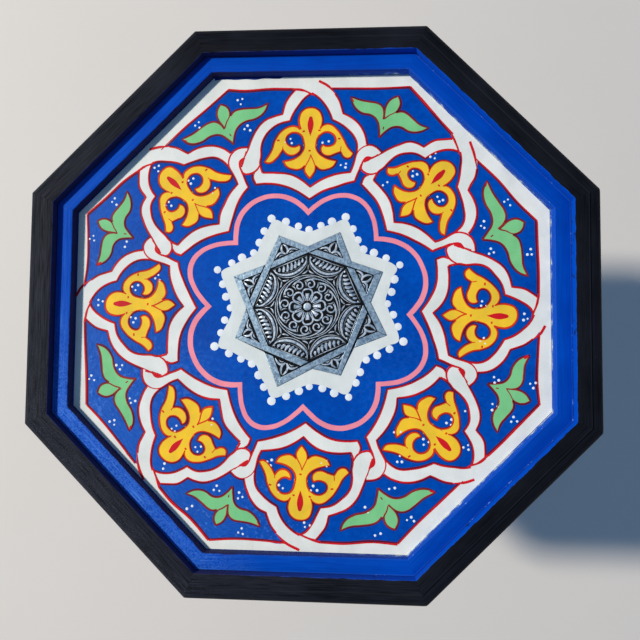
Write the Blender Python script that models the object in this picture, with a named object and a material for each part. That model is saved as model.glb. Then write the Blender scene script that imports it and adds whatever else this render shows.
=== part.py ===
"""Octagonal painted side table: a trayed top on eight arched boards.

Units are metres, +Z is up, and the origin is on the floor under the middle of the top.
The flats of the octagon face +-X, +-Y and the diagonals.
"""

import math

import bmesh
import bpy
from mathutils import Matrix, Vector

# Overall
TABLE_HEIGHT = 0.542
TOP_ACROSS_FLATS = 0.408
FIT = 0.0003                  # glue line left between two pieces that touch

# Top: painted panel, blue ledge round it, black rim round both
PANEL_THICKNESS = 0.012
LEDGE_WIDTH = 0.0115
LEDGE_STEP = 0.0085           # ledge above the panel
LEDGE_ARRIS = 0.0008          # softened inner top edge of the ledge
RIM_FLAT = 0.0100             # flat top of the rim, from its inner edge
RIM_ROUND_WIDTH = 0.0105      # quarter round outside the flat
RIM_ROUND_DROP = 0.0085
RIM_QUIRK = 0.0018            # step down from the flat to the quarter round
RIM_STEP = 0.0065             # rim above the ledge
RIM_ARRIS = 0.0006            # softened inner top edge of the rim
RIM_CHAMFER = 0.0030          # lower outer edge

# Metal star let on to the middle of the panel
STAR_TIP_RADIUS = 0.0570
STAR_THICKNESS = 0.0008

# Body: eight mitred boards, each cut with a pointed horseshoe arch
OVERHANG = 0.044              # top past the body, flat to flat
BOARD_THICKNESS = 0.015
ARCH_WIDTH = 0.072            # between the jambs
ARCH_SPRING = 0.245           # height of the jambs
ARCH_BULGE = 0.006            # swell of the arch past each jamb
ARCH_POINT = 0.010            # how far each arc's centre lies past the middle

# Cove moulding under the top
NECK_WIDTH = 0.012
NECK_HEIGHT = 0.018
NECK_FILLET = 0.003           # square edges above and below the cove

# Glue blocks inside the corners, each screwed up into the panel
BLOCK_LEG = 0.024
BLOCK_DEPTH = 0.012
BLOCK_HEIGHT = 0.036
SCREW_DIAMETER = 0.004
SCREW_BITE = 0.008            # thread in the panel
SCREW_POINT = 0.003
SCREW_HEAD_DIAMETER = 0.008
SCREW_HEAD_HEIGHT = 0.0024
SCREW_HEAD_FLAT = 0.0056      # flat end of the head, inside its rounded edge

# Facets of round shapes
ARC_STEPS = 12
ROUND_STEPS = 5
HOLE_SIDES = 12

# Worked out from the sizes above
SIDES = 8
TURN = math.tau / SIDES
HALF_TURN = TURN / 2.0
MITRE = math.tan(HALF_TURN)
TOP_RADIUS = TOP_ACROSS_FLATS / 2.0
RIM_RADIUS = TOP_RADIUS - RIM_FLAT - RIM_ROUND_WIDTH
PANEL_RADIUS = RIM_RADIUS - FIT
LEDGE_RADIUS = PANEL_RADIUS - LEDGE_WIDTH
BODY_RADIUS = TOP_RADIUS - OVERHANG
INNER_RADIUS = BODY_RADIUS - BOARD_THICKNESS
LEDGE_Z = TABLE_HEIGHT - RIM_STEP
PANEL_Z = LEDGE_Z - LEDGE_STEP
UNDER_Z = PANEL_Z - PANEL_THICKNESS
BODY_Z = UNDER_Z - FIT

# Colour as seen (sRGB), roughness, metallic
FINISHES = {
    "black_paint": ((0.11, 0.12, 0.15), 0.40, 0.0),
    "blue_paint": ((0.02, 0.27, 0.70), 0.42, 0.0),
    "embossed_metal": ((0.55, 0.60, 0.66), 0.35, 1.0),
    "bare_wood": ((0.66, 0.49, 0.32), 0.70, 0.0),
    "zinc_steel": ((0.62, 0.62, 0.60), 0.38, 1.0),
}


def clear_scene():
    """Remove every object of the scene."""
    for old in list(bpy.data.objects):
        bpy.data.objects.remove(old, do_unlink=True)


def linear(value):
    """Turn one sRGB channel into the linear value a shader takes."""
    if value <= 0.04045:
        return value / 12.92
    return ((value + 0.055) / 1.055) ** 2.4


def make_materials():
    """Make one Principled material for each finish."""
    made = {}
    for name, (colour, roughness, metallic) in FINISHES.items():
        material = bpy.data.materials.new(name)
        material.use_nodes = True
        shader = material.node_tree.nodes["Principled BSDF"]
        shader.inputs["Base Color"].default_value = (*[linear(c) for c in colour], 1.0)
        shader.inputs["Roughness"].default_value = roughness
        shader.inputs["Metallic"].default_value = metallic
        material.diffuse_color = (*colour, 1.0)
        made[name] = material
    return made


def make_mesh(name, bm):
    """Close a bmesh into a mesh whose faces point out."""
    bmesh.ops.recalc_face_normals(bm, faces=bm.faces)
    mesh = bpy.data.meshes.new(name)
    bm.to_mesh(mesh)
    bm.free()
    return mesh


def place(name, mesh, material, parent, angle=0.0):
    """Put a piece in the table, turned about the middle by angle."""
    piece = bpy.data.objects.new(name, mesh)
    if not mesh.materials:
        mesh.materials.append(material)
    piece.rotation_euler = (0.0, 0.0, angle)
    piece.parent = parent
    bpy.context.scene.collection.objects.link(piece)
    return piece


def place_round(name, mesh, material, parent, start=0.0):
    """Put one piece on each side of the octagon."""
    for side in range(SIDES):
        place(f"{name}_{side + 1}", mesh, material, parent, start + side * TURN)


def prism(outline, bottom, height):
    """Extrude a plan outline upwards."""
    bm = bmesh.new()
    face = bm.faces.new([bm.verts.new((x, y, bottom)) for x, y in outline])
    grown = bmesh.ops.extrude_face_region(bm, geom=[face])["geom"]
    walls = [part for part in grown if isinstance(part, bmesh.types.BMVert)]
    bmesh.ops.translate(bm, verts=walls, vec=Vector((0.0, 0.0, height)))
    return bm


def mitred_bar(profile):
    """Extrude a (radius, height) section along +-Y at +X, its ends cut on the mitre."""
    bm = bmesh.new()
    section = [bm.verts.new((radius, -half_side(radius), height)) for radius, height in profile]
    grown = bmesh.ops.extrude_face_region(bm, geom=[bm.faces.new(section)])["geom"]
    for part in grown:
        if isinstance(part, bmesh.types.BMVert):
            part.co.y = -part.co.y
    return bm


def half_side(radius):
    """Half the length of an octagon's side, less half a glue line at the mitre."""
    return radius * MITRE - 0.5 * FIT / math.cos(HALF_TURN)


def cut(mesh, cutter_mesh):
    """Return the mesh with the cutter taken out of it."""
    body = bpy.data.objects.new("uncut", mesh)
    cutter = bpy.data.objects.new("cutter", cutter_mesh)
    for piece in (body, cutter):
        bpy.context.scene.collection.objects.link(piece)
    cutter.hide_render = True
    cutter.display_type = 'WIRE'
    boolean = body.modifiers.new("holes", 'BOOLEAN')
    boolean.object = cutter
    boolean.operation = 'DIFFERENCE'
    shaped = bpy.data.meshes.new_from_object(body.evaluated_get(bpy.context.evaluated_depsgraph_get()))
    for piece in (body, cutter):
        bpy.data.objects.remove(piece, do_unlink=True)
    return shaped


def octagon(radius):
    """Plan corners of an octagon whose flats lie at this radius."""
    reach = radius / math.cos(HALF_TURN)
    angles = [HALF_TURN + side * TURN for side in range(SIDES)]
    return [(reach * math.cos(angle), reach * math.sin(angle)) for angle in angles]


def corner_vertex():
    """Radius of the inner corner that a glue block fills."""
    return (INNER_RADIUS - FIT) / math.cos(HALF_TURN)


def block_run():
    """Inward run of a glue block's leg along the board."""
    return BLOCK_LEG * math.sin(HALF_TURN)


def screw_radius():
    """Radius at which the screws stand, in the middle of their blocks."""
    return corner_vertex() - (block_run() + BLOCK_DEPTH) / 2.0


def add_hole(bm, x, y, bottom, top):
    """Add a round clearance cutter for a screw."""
    radius = SCREW_DIAMETER / 2.0 + FIT
    middle = Matrix.Translation((x, y, (bottom + top) / 2.0))
    bmesh.ops.create_cone(
        bm, cap_ends=True, segments=HOLE_SIDES, radius1=radius, radius2=radius,
        depth=top - bottom, matrix=middle)


def panel_mesh():
    """Octagonal board with a blind screw hole near each corner."""
    holes = bmesh.new()
    depth = SCREW_BITE + FIT
    for corner in range(SIDES):
        angle = HALF_TURN + corner * TURN
        x = screw_radius() * math.cos(angle)
        y = screw_radius() * math.sin(angle)
        add_hole(holes, x, y, UNDER_Z - depth, UNDER_Z + depth)
    board = make_mesh("panel", prism(octagon(PANEL_RADIUS), UNDER_Z, PANEL_THICKNESS))
    return cut(board, make_mesh("holes", holes))


def ledge_mesh():
    """Strip that lies on the panel's margin against the rim."""
    profile = [
        (LEDGE_RADIUS, PANEL_Z + FIT),
        (PANEL_RADIUS, PANEL_Z + FIT),
        (PANEL_RADIUS, LEDGE_Z),
        (LEDGE_RADIUS + LEDGE_ARRIS, LEDGE_Z),
        (LEDGE_RADIUS, LEDGE_Z - LEDGE_ARRIS),
    ]
    return make_mesh("ledge", mitred_bar(profile))


def rim_mesh():
    """Edge moulding: a flat, a quirk, a quarter round and a plain face below."""
    shoulder = RIM_RADIUS + RIM_FLAT
    round_top = TABLE_HEIGHT - RIM_QUIRK
    profile = [
        (RIM_RADIUS, UNDER_Z),
        (RIM_RADIUS, TABLE_HEIGHT - RIM_ARRIS),
        (RIM_RADIUS + RIM_ARRIS, TABLE_HEIGHT),
        (shoulder, TABLE_HEIGHT),
    ]
    for step in range(ROUND_STEPS + 1):
        angle = math.pi / 2.0 * step / ROUND_STEPS
        reach = shoulder + RIM_ROUND_WIDTH * math.sin(angle)
        profile.append((reach, round_top - RIM_ROUND_DROP * (1.0 - math.cos(angle))))
    profile.append((TOP_RADIUS, UNDER_Z + RIM_CHAMFER))
    profile.append((TOP_RADIUS - RIM_CHAMFER, UNDER_Z))
    return make_mesh("rim", mitred_bar(profile))


def star_mesh():
    """Eight-pointed plate: two squares, one turned on the other."""
    notch = STAR_TIP_RADIUS * math.cos(TURN) / math.cos(HALF_TURN)
    outline = []
    for corner in range(2 * SIDES):
        radius = notch if corner % 2 == 0 else STAR_TIP_RADIUS
        angle = corner * HALF_TURN
        outline.append((radius * math.cos(angle), radius * math.sin(angle)))
    return make_mesh("star", prism(outline, PANEL_Z + FIT, STAR_THICKNESS))


def arch_curve():
    """Points (across, up) of the arch from its right springing to its left one."""
    radius = ARCH_WIDTH / 2.0 + ARCH_BULGE + ARCH_POINT
    start = math.acos((radius - ARCH_BULGE) / radius)
    centre_z = ARCH_SPRING + radius * math.sin(start)
    end = math.acos(ARCH_POINT / radius)
    right = []
    for step in range(ARC_STEPS + 1):
        angle = -start + (start + end) * step / ARC_STEPS
        right.append((radius * math.cos(angle) - ARCH_POINT, centre_z + radius * math.sin(angle)))
    right[-1] = (0.0, right[-1][1])
    left = [(-across, up) for across, up in reversed(right[:-1])]
    return right + left


def board_mesh():
    """Side board with its arch, mitred on both long edges."""
    bm = bmesh.new()
    outer = half_side(BODY_RADIUS)
    jamb = ARCH_WIDTH / 2.0
    outline = [(jamb, 0.0), *arch_curve(), (-jamb, 0.0)]
    outline += [(-outer, 0.0), (-outer, BODY_Z), (outer, BODY_Z), (outer, 0.0)]
    face = bm.faces.new([bm.verts.new((BODY_RADIUS, across, up)) for across, up in outline])
    grown = bmesh.ops.extrude_face_region(bm, geom=[face])["geom"]
    for part in grown:
        if not isinstance(part, bmesh.types.BMVert):
            continue
        if math.isclose(abs(part.co.y), outer, abs_tol=FIT / 10.0):
            part.co.y = math.copysign(half_side(INNER_RADIUS), part.co.y)
        part.co.x = INNER_RADIUS
    return make_mesh("board", bm)


def neck_mesh():
    """Cove moulding that covers the joint of the body and the top."""
    back = BODY_RADIUS + FIT
    front = back + NECK_WIDTH
    foot = BODY_Z - NECK_HEIGHT
    profile = [(back, foot), (back, BODY_Z), (front, BODY_Z)]
    for step in range(ROUND_STEPS + 1):
        angle = math.pi / 2.0 * step / ROUND_STEPS
        reach = front - (NECK_WIDTH - NECK_FILLET) * math.sin(angle)
        drop = (NECK_HEIGHT - 2.0 * NECK_FILLET) * (1.0 - math.cos(angle))
        profile.append((reach, BODY_Z - NECK_FILLET - drop))
    profile.append((back + NECK_FILLET, foot))
    return make_mesh("neck", mitred_bar(profile))


def block_mesh():
    """Glue block filling an inner corner, bored for its screw."""
    tip = corner_vertex()
    side = BLOCK_LEG * math.cos(HALF_TURN)
    shoulder = tip - block_run()
    outline = [
        (tip, 0.0),
        (shoulder, side),
        (shoulder - BLOCK_DEPTH, side),
        (shoulder - BLOCK_DEPTH, -side),
        (shoulder, -side),
    ]
    foot = BODY_Z - BLOCK_HEIGHT
    block = make_mesh("block", prism(outline, foot, BLOCK_HEIGHT))
    bore = bmesh.new()
    add_hole(bore, screw_radius(), 0.0, foot - BLOCK_HEIGHT, BODY_Z + BLOCK_HEIGHT)
    return cut(block, make_mesh("bore", bore))


def screw_mesh():
    """Pan-head screw, head down, standing in its block."""
    seat = BODY_Z - BLOCK_HEIGHT - FIT
    tip = UNDER_Z + SCREW_BITE
    shank = SCREW_DIAMETER / 2.0
    head = SCREW_HEAD_DIAMETER / 2.0
    profile = [
        (0.0, tip),
        (shank, tip - SCREW_POINT),
        (shank, seat),
        (head, seat),
        (head, seat - SCREW_HEAD_HEIGHT / 2.0),
        (SCREW_HEAD_FLAT / 2.0, seat - SCREW_HEAD_HEIGHT),
        (0.0, seat - SCREW_HEAD_HEIGHT),
    ]
    bm = bmesh.new()
    points = [bm.verts.new((radius, 0.0, height)) for radius, height in profile]
    edges = [bm.edges.new(pair) for pair in zip(points, points[1:])]
    bmesh.ops.spin(
        bm, geom=points + edges, axis=Vector((0.0, 0.0, 1.0)), cent=Vector(),
        angle=math.tau, steps=HOLE_SIDES, use_merge=True)
    bmesh.ops.remove_doubles(bm, verts=bm.verts, dist=FIT / 10.0)
    bmesh.ops.translate(bm, verts=bm.verts, vec=Vector((screw_radius(), 0.0, 0.0)))
    return make_mesh("screw", bm)


def build_table():
    """Put the whole table together."""
    clear_scene()
    finish = make_materials()
    table = bpy.data.objects.new("table", None)
    bpy.context.scene.collection.objects.link(table)
    place("top_panel", panel_mesh(), finish["blue_paint"], table)
    place("star_plate", star_mesh(), finish["embossed_metal"], table)
    place_round("rim_moulding", rim_mesh(), finish["black_paint"], table)
    place_round("ledge_strip", ledge_mesh(), finish["blue_paint"], table)
    place_round("side_board", board_mesh(), finish["blue_paint"], table)
    place_round("neck_moulding", neck_mesh(), finish["black_paint"], table)
    place_round("corner_block", block_mesh(), finish["bare_wood"], table, HALF_TURN)
    place_round("block_screw", screw_mesh(), finish["zinc_steel"], table, HALF_TURN)


build_table()
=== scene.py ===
# Looks of the painted octagonal side table: mouldings, boards, painted ornament and embossed star.
# Metres, +Z up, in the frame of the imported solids. The ornament is drawn in millimetres on flat sheets,
# which are laid on the top panel and on the outside of the side boards.

import math
import random

import bmesh
import bpy
from mathutils import Matrix, Vector, noise


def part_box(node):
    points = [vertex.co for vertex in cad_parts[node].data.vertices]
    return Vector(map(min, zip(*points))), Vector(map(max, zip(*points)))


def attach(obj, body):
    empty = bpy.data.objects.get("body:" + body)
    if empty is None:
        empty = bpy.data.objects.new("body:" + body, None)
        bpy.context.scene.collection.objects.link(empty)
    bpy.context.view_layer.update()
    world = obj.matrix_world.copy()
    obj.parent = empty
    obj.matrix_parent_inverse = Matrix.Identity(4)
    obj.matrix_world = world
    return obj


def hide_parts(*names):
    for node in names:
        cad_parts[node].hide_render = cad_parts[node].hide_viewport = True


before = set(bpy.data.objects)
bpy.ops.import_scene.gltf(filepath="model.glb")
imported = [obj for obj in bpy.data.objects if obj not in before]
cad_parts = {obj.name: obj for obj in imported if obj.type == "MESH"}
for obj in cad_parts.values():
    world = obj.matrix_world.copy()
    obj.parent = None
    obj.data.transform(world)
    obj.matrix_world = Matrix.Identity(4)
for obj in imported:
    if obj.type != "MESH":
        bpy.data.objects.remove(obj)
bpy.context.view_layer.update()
SEED = 8
chance = random.Random(SEED)
noise.seed_set(SEED)

# Octagon: pieces are numbered counter-clockwise from +X
MM = 0.001
SIDES = 8
TURN = 360.0 / SIDES
HALF_TURN = math.radians(TURN / 2.0)
MITRE = math.tan(HALF_TURN)
GLUE_LINE = 0.04 * MM    # the paint fills the seams almost shut
ROOT = "root"

# Places read from the solids
PANEL_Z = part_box("top_panel")[1].z
UNDER_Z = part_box("top_panel")[0].z
LEDGE_LOW, LEDGE_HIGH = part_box("ledge_strip_1")
RIM_LOW, RIM_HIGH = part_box("rim_moulding_1")
NECK_LOW, NECK_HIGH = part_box("neck_moulding_1")
BOARD_LOW, BOARD_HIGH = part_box("side_board_1")
STAR_LOW, STAR_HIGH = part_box("star_plate")

# Camera over the table, leaning a little
CAMERA_PLACE = (0.03377, -0.02823, 0.95029)
CAMERA_TURN = (2.811, 3.431, 0.527)
CAMERA_LENS = 33.19
CAMERA_SENSOR = 36.0
CAMERA_SHIFT = 0.0016


# Node helpers

def tint(red, green, blue):
    """Linear RGBA of a colour given as it is seen, 0 to 255."""
    channels = []
    for value in (red, green, blue):
        share = value / 255.0
        channels.append(share / 12.92 if share <= 0.04045 else ((share + 0.055) / 1.055) ** 2.4)
    return (*channels, 1.0)


def feed(tree, socket, value):
    """Link an output to an input, or set the input's own value."""
    if isinstance(value, bpy.types.NodeSocket):
        tree.links.new(value, socket)
    else:
        socket.default_value = value


def add(tree, kind, inputs=None, **settings):
    """Add one node with its settings and inputs."""
    made = tree.nodes.new(kind)
    for name, value in settings.items():
        setattr(made, name, value)
    for name, value in (inputs or {}).items():
        feed(tree, made.inputs[name], value)
    return made


def calc(tree, operation, first, second=0.0):
    """One Math node's result."""
    return add(tree, "ShaderNodeMath", {0: first, 1: second}, operation=operation).outputs[0]


def remap(tree, value, low, high, new_low=0.0, new_high=1.0):
    """A value carried from one range to another and held there."""
    limits = {"From Min": low, "From Max": high, "To Min": new_low, "To Max": new_high}
    return add(tree, "ShaderNodeMapRange", {"Value": value, **limits}).outputs["Result"]


def mingle(tree, share, first, second):
    """Mix of two colours."""
    mix = add(tree, "ShaderNodeMix", data_type="RGBA")
    feed(tree, mix.inputs[0], share)
    feed(tree, mix.inputs[6], first)
    feed(tree, mix.inputs[7], second)
    return mix.outputs[2]


def cloud(tree, vector, scale, detail=3.0, roughness=0.55):
    """Noise value, 0 to 1."""
    settings = {"Vector": vector, "Scale": scale, "Detail": detail, "Roughness": roughness}
    return add(tree, "ShaderNodeTexNoise", settings).outputs["Fac"]


def new_group(name, inputs, outputs):
    """Empty shader node group with its sockets."""
    group = bpy.data.node_groups.new(name, "ShaderNodeTree")
    for socket, kind in inputs:
        group.interface.new_socket(name=socket, in_out="INPUT", socket_type=kind)
    for socket, kind in outputs:
        group.interface.new_socket(name=socket, in_out="OUTPUT", socket_type=kind)
    entry = group.nodes.new("NodeGroupInput")
    leave = group.nodes.new("NodeGroupOutput")
    return group, entry, leave


FLOAT = "NodeSocketFloat"
VECTOR = "NodeSocketVector"
COLOUR = "NodeSocketColor"


def side_place_group():
    """Object coordinates turned to the nearest side: out from the middle, along the side, up."""
    group, entry, leave = new_group("side_place", [("Vector", VECTOR)], [("Vector", VECTOR)])
    parts = add(group, "ShaderNodeSeparateXYZ", {"Vector": entry.outputs["Vector"]})
    angle = calc(group, "ARCTAN2", parts.outputs["Y"], parts.outputs["X"])
    side = calc(group, "ROUND", calc(group, "DIVIDE", angle, math.radians(TURN)))
    back = calc(group, "MULTIPLY", side, -math.radians(TURN))
    turned = add(
        group, "ShaderNodeVectorRotate", {"Vector": entry.outputs["Vector"], "Angle": back},
        rotation_type="Z_AXIS")
    feed(group, leave.inputs["Vector"], turned.outputs["Vector"])
    return group


def brush_group():
    """Bristle lines and the load of paint left by a brush drawn along the second axis."""
    group, entry, leave = new_group(
        "brush_marks",
        [("Vector", VECTOR), ("Across", FLOAT), ("Along", FLOAT)],
        [("Bristle", FLOAT), ("Load", FLOAT)])
    across = entry.outputs["Across"]
    stretch = add(group, "ShaderNodeCombineXYZ", {"X": across, "Y": entry.outputs["Along"], "Z": across})
    drawn = add(
        group, "ShaderNodeVectorMath", {0: entry.outputs["Vector"], 1: stretch.outputs["Vector"]},
        operation="MULTIPLY").outputs["Vector"]
    feed(group, leave.inputs["Bristle"], cloud(group, drawn, 1.0, 5.0, 0.6))
    feed(group, leave.inputs["Load"], cloud(group, drawn, 0.16, 3.0, 0.5))
    return group


def nick_group():
    """Mask of small spots, thicker where Nearness is high: chips, rubbed spots and dust, and painted glints.
    """
    group, entry, leave = new_group(
        "nicks", [("Vector", VECTOR), ("Scale", FLOAT), ("Nearness", FLOAT)], [("Mask", FLOAT)])
    spots = cloud(group, entry.outputs["Vector"], entry.outputs["Scale"], 4.0, 0.65)
    level = remap(group, entry.outputs["Nearness"], 0.0, 1.0, 0.76, 0.50)
    over = calc(group, "SUBTRACT", spots, level)
    feed(group, leave.inputs["Mask"], remap(group, over, 0.0, 0.05))
    return group


def grain_group():
    """Softwood: colour and height of growth rings drawn out along the third axis."""
    group, entry, leave = new_group(
        "wood_grain", [("Vector", VECTOR)], [("Color", COLOUR), ("Height", FLOAT)])
    squeeze = add(
        group, "ShaderNodeVectorMath", {0: entry.outputs["Vector"], 1: (60.0, 60.0, 4.0)},
        operation="MULTIPLY").outputs["Vector"]
    warp = cloud(group, squeeze, 0.5, 2.0)
    parts = add(group, "ShaderNodeSeparateXYZ", {"Vector": squeeze})
    rings = calc(group, "ADD", calc(group, "ADD", parts.outputs["X"], parts.outputs["Y"]),
                 calc(group, "MULTIPLY", warp, 7.0))
    wave = calc(group, "SINE", calc(group, "MULTIPLY", rings, 3.2))
    fibre = cloud(group, squeeze, 9.0, 4.0, 0.7)
    tone = remap(group, calc(group, "ADD", calc(group, "MULTIPLY", wave, 0.5), fibre), -0.1, 1.1)
    feed(group, leave.inputs["Color"], mingle(group, tone, tint(142, 100, 62), tint(194, 154, 108)))
    feed(group, leave.inputs["Height"], tone)
    return group


SIDE_PLACE = side_place_group()
BRUSH = brush_group()
NICKS_AND_GLINTS = nick_group()
GRAIN = grain_group()


# Materials

def start_material(name):
    """New node material with its shader and Object coordinates."""
    material = bpy.data.materials.new(name)
    material.use_nodes = True
    tree = material.node_tree
    shader = tree.nodes["Principled BSDF"]
    place = add(tree, "ShaderNodeTexCoord").outputs["Object"]
    return material, tree, shader, place


def use_group(tree, group, inputs):
    """Place a node group."""
    made = tree.nodes.new("ShaderNodeGroup")
    made.node_tree = group
    for name, value in inputs.items():
        feed(tree, made.inputs[name], value)
    return made.outputs


def raise_surface(tree, shader, height, depth, strength=1.0):
    """Bump the surface by a height map."""
    bump = add(tree, "ShaderNodeBump", {"Height": height, "Distance": depth, "Strength": strength})
    feed(tree, shader.inputs["Normal"], bump.outputs["Normal"])


def dab_paint(name, thin, thick, roughness=0.5):
    """Thick hand-laid paint of the ornament: uneven load and low brush ridges."""
    material, tree, shader, place = start_material(name)
    brush = use_group(tree, BRUSH, {"Vector": place, "Across": 420.0, "Along": 190.0})
    pool = cloud(tree, place, 90.0, 3.0)
    load = calc(tree, "MULTIPLY", calc(tree, "ADD", pool, brush["Load"]), 0.5)
    share = remap(tree, load, 0.34, 0.62)
    feed(tree, shader.inputs["Base Color"], mingle(tree, share, thin, thick))
    gloss = remap(tree, brush["Bristle"], 0.2, 0.8, roughness + 0.1, roughness - 0.08)
    feed(tree, shader.inputs["Roughness"], gloss)
    shader.inputs["Specular IOR Level"].default_value = ORNAMENT_SHEEN
    raise_surface(tree, shader, brush["Bristle"], 0.0002, 0.4)
    return material


def parts_of(tree, vector):
    """Three coordinates of a vector."""
    return add(tree, "ShaderNodeSeparateXYZ", {"Vector": vector}).outputs


def near(tree, value, target, width):
    """1 where a coordinate is at a target, fading to 0 at the given width from it."""
    gap = calc(tree, "ABSOLUTE", calc(tree, "SUBTRACT", value, target))
    return remap(tree, gap, 0.0, width, 1.0, 0.0)


# Sides of the table: one for dust, patches and painted glints, one for painted sheen
WEAR_AND_GLINT_SIDE = (-0.80, -0.60)
SHEEN_SIDE = (-0.92, -0.38)


def wear_and_sheen_share(tree, place, lean, first, last, least, most):
    """Share that grows from a first to a last distance towards one side of the table: weathering such as
    dust and patches, and painted sheen and painted glints.
    """
    spots = parts_of(tree, place)
    across = calc(tree, "MULTIPLY", spots["X"], lean[0])
    away = calc(tree, "ADD", across, calc(tree, "MULTIPLY", spots["Y"], lean[1]))
    return remap(tree, away, first, last, least, most)


def ragged(tree, place, scale, depth):
    """Small ups and downs of a hand-cut edge of paint."""
    return calc(tree, "MULTIPLY", calc(tree, "SUBTRACT", cloud(tree, place, scale, 4.0), 0.5), depth)


def streaked_paint(name, paints, edges, wall=None, patch_colour=None, chipped=0.8, line=0.1, dust=0.12, lap=None):
    """Paint brushed along each side, rubbed at some distances from the middle, with a painted highlight
    there, and paler towards one side as painted sheen.

    Paints are (deep, light, pale, rubbed). A wall has another paint up to a ragged edge: (distance, painted
    shaded colour at -X, painted lit colour at +X). A patch colour shows through in patches, and dust lies,
    on one side.
    A lap is the paint of the panel drawn up the foot of the wall.
    """
    # pale is the colour of the painted sheen; rubbed is the colour of chips, dust and painted highlights on
    # the edges
    deep, light, pale, rubbed = paints
    material, tree, shader, place = start_material(name)
    side = use_group(tree, SIDE_PLACE, {"Vector": place})["Vector"]
    out = parts_of(tree, side)["X"]
    across = parts_of(tree, place)["X"]
    brush = use_group(tree, BRUSH, {"Vector": side, "Across": 1500.0, "Along": 45.0})
    broad = cloud(tree, place, 22.0, 3.0)
    load = calc(tree, "MULTIPLY", calc(tree, "ADD", brush["Bristle"], broad), 0.5)
    colour = mingle(tree, remap(tree, load, 0.36, 0.66), deep, light)
    # Painted sheen: the pale colour mixed in towards one side, streaked by the brush
    painted_sheen = wear_and_sheen_share(tree, place, SHEEN_SIDE, -0.05, 0.18, 0.0, 0.2)
    painted_sheen = calc(tree, "MULTIPLY", painted_sheen, remap(tree, brush["Bristle"], 0.38, 0.64, 0.2, 1.8))
    colour = mingle(tree, painted_sheen, colour, pale)
    if patch_colour is not None:
        patches = remap(tree, cloud(tree, place, 1000.0, 4.0, 0.65), 0.4, 0.68, 0.0, 0.8)
        patches = calc(tree, "MAXIMUM", patches, remap(tree, brush["Bristle"], 0.54, 0.68))
        share = wear_and_sheen_share(tree, place, WEAR_AND_GLINT_SIDE, 0.13, 0.18, 0.0, 0.7)
        colour = mingle(tree, calc(tree, "MULTIPLY", patches, share), colour, patch_colour)
    # Chips and a thin lighter line along the given edges: partly wear, partly a painted highlight on the
    # arrises, stronger towards +X
    rub_and_glint = 0.0
    for edge in edges:
        rub_and_glint = calc(tree, "MAXIMUM", rub_and_glint, near(tree, out, edge, 0.0012))
    rub_and_glint = calc(tree, "MULTIPLY", rub_and_glint, remap(tree, across, -0.04, 0.11, 0.3, 1.0))
    nearness = calc(tree, "MULTIPLY", rub_and_glint, chipped)
    chips = use_group(tree, NICKS_AND_GLINTS, {"Vector": place, "Scale": 210.0, "Nearness": nearness})["Mask"]
    colour = mingle(tree, calc(tree, "MAXIMUM", chips, calc(tree, "MULTIPLY", rub_and_glint, line)), colour, rubbed)
    thick = wear_and_sheen_share(tree, place, WEAR_AND_GLINT_SIDE, 0.12, 0.19, 0.1, dust)
    specks = use_group(tree, NICKS_AND_GLINTS, {"Vector": place, "Scale": 1500.0, "Nearness": thick})["Mask"]
    colour = mingle(tree, calc(tree, "MULTIPLY", specks, 0.4), colour, rubbed)
    # Painted shade and light on the wall: dark at -X where it is turned from the lamp, light at +X where it
    # faces it
    if wall is not None:
        reach, shaded_wall, clear = wall
        wall_shade_and_light = mingle(tree, remap(tree, across, -0.06, 0.1), shaded_wall, clear)
        edge = calc(tree, "ADD", ragged(tree, place, 160.0, 0.0016), reach)
        inside = calc(tree, "SUBTRACT", edge, out)
        colour = mingle(tree, remap(tree, inside, -0.0001, 0.0001), colour, wall_shade_and_light)
    if lap is not None:
        edge = calc(tree, "ADD", ragged(tree, place, 150.0, 0.014), PANEL_Z + 0.0006)
        below = calc(tree, "SUBTRACT", edge, parts_of(tree, place)["Z"])
        thin = remap(tree, below, -0.003, 0.0, 0.0, 0.7)
        solid = calc(tree, "MAXIMUM", thin, remap(tree, below, -0.0001, 0.0001))
        fringe = mingle(tree, remap(tree, below, -0.0004, 0.0), rubbed, lap)
        colour = mingle(tree, calc(tree, "MULTIPLY", solid, remap(tree, across, 0.02, 0.08)), colour, fringe)
    feed(tree, shader.inputs["Base Color"], colour)
    feed(tree, shader.inputs["Roughness"], remap(tree, brush["Bristle"], 0.25, 0.75, 0.6, 0.4))
    shader.inputs["Specular IOR Level"].default_value = PAINT_SHEEN
    raise_surface(tree, shader, brush["Bristle"], 0.0003, 0.7)
    return material


PAINT_SHEEN = 0.03
ORNAMENT_SHEEN = 0.1
BLUE_DEEP = tint(0, 62, 154)
BLUE_LIGHT = tint(0, 81, 182)
# Light blue of chips and of the painted highlights on the ledge's edges
BLUE_RUBBED_AND_GLINT = tint(120, 166, 238)
# Paler blue of the panel's painted sheen
BLUE_SHEEN = tint(58, 108, 194)
# Lighter blue of the panel's painted glints and of patches on the ledge
BLUE_GLINT_AND_PATCH = tint(92, 144, 232)
BLUE_SPECK = tint(170, 192, 232)
# Ledge and rim paints: deep, light, a pale colour for painted sheen, and a colour for chips, dust and
# painted highlights on the edges
LEDGE_BLUES = (tint(0, 58, 157), tint(0, 75, 186), tint(22, 98, 200), BLUE_RUBBED_AND_GLINT)
RIM_BLACKS = (tint(10, 12, 17), tint(29, 31, 39), tint(66, 70, 82), tint(110, 112, 118))
# Inner wall colours: a painted shaded colour at -X and a painted lit colour at +X
RIM_WALL_SHADED_AND_LIT = (tint(44, 46, 86), tint(4, 80, 196))
LEDGE_WALL_SHADED_AND_LIT = (tint(40, 42, 84), tint(8, 78, 192))
LAPPED_WHITE = tint(214, 219, 220)


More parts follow.
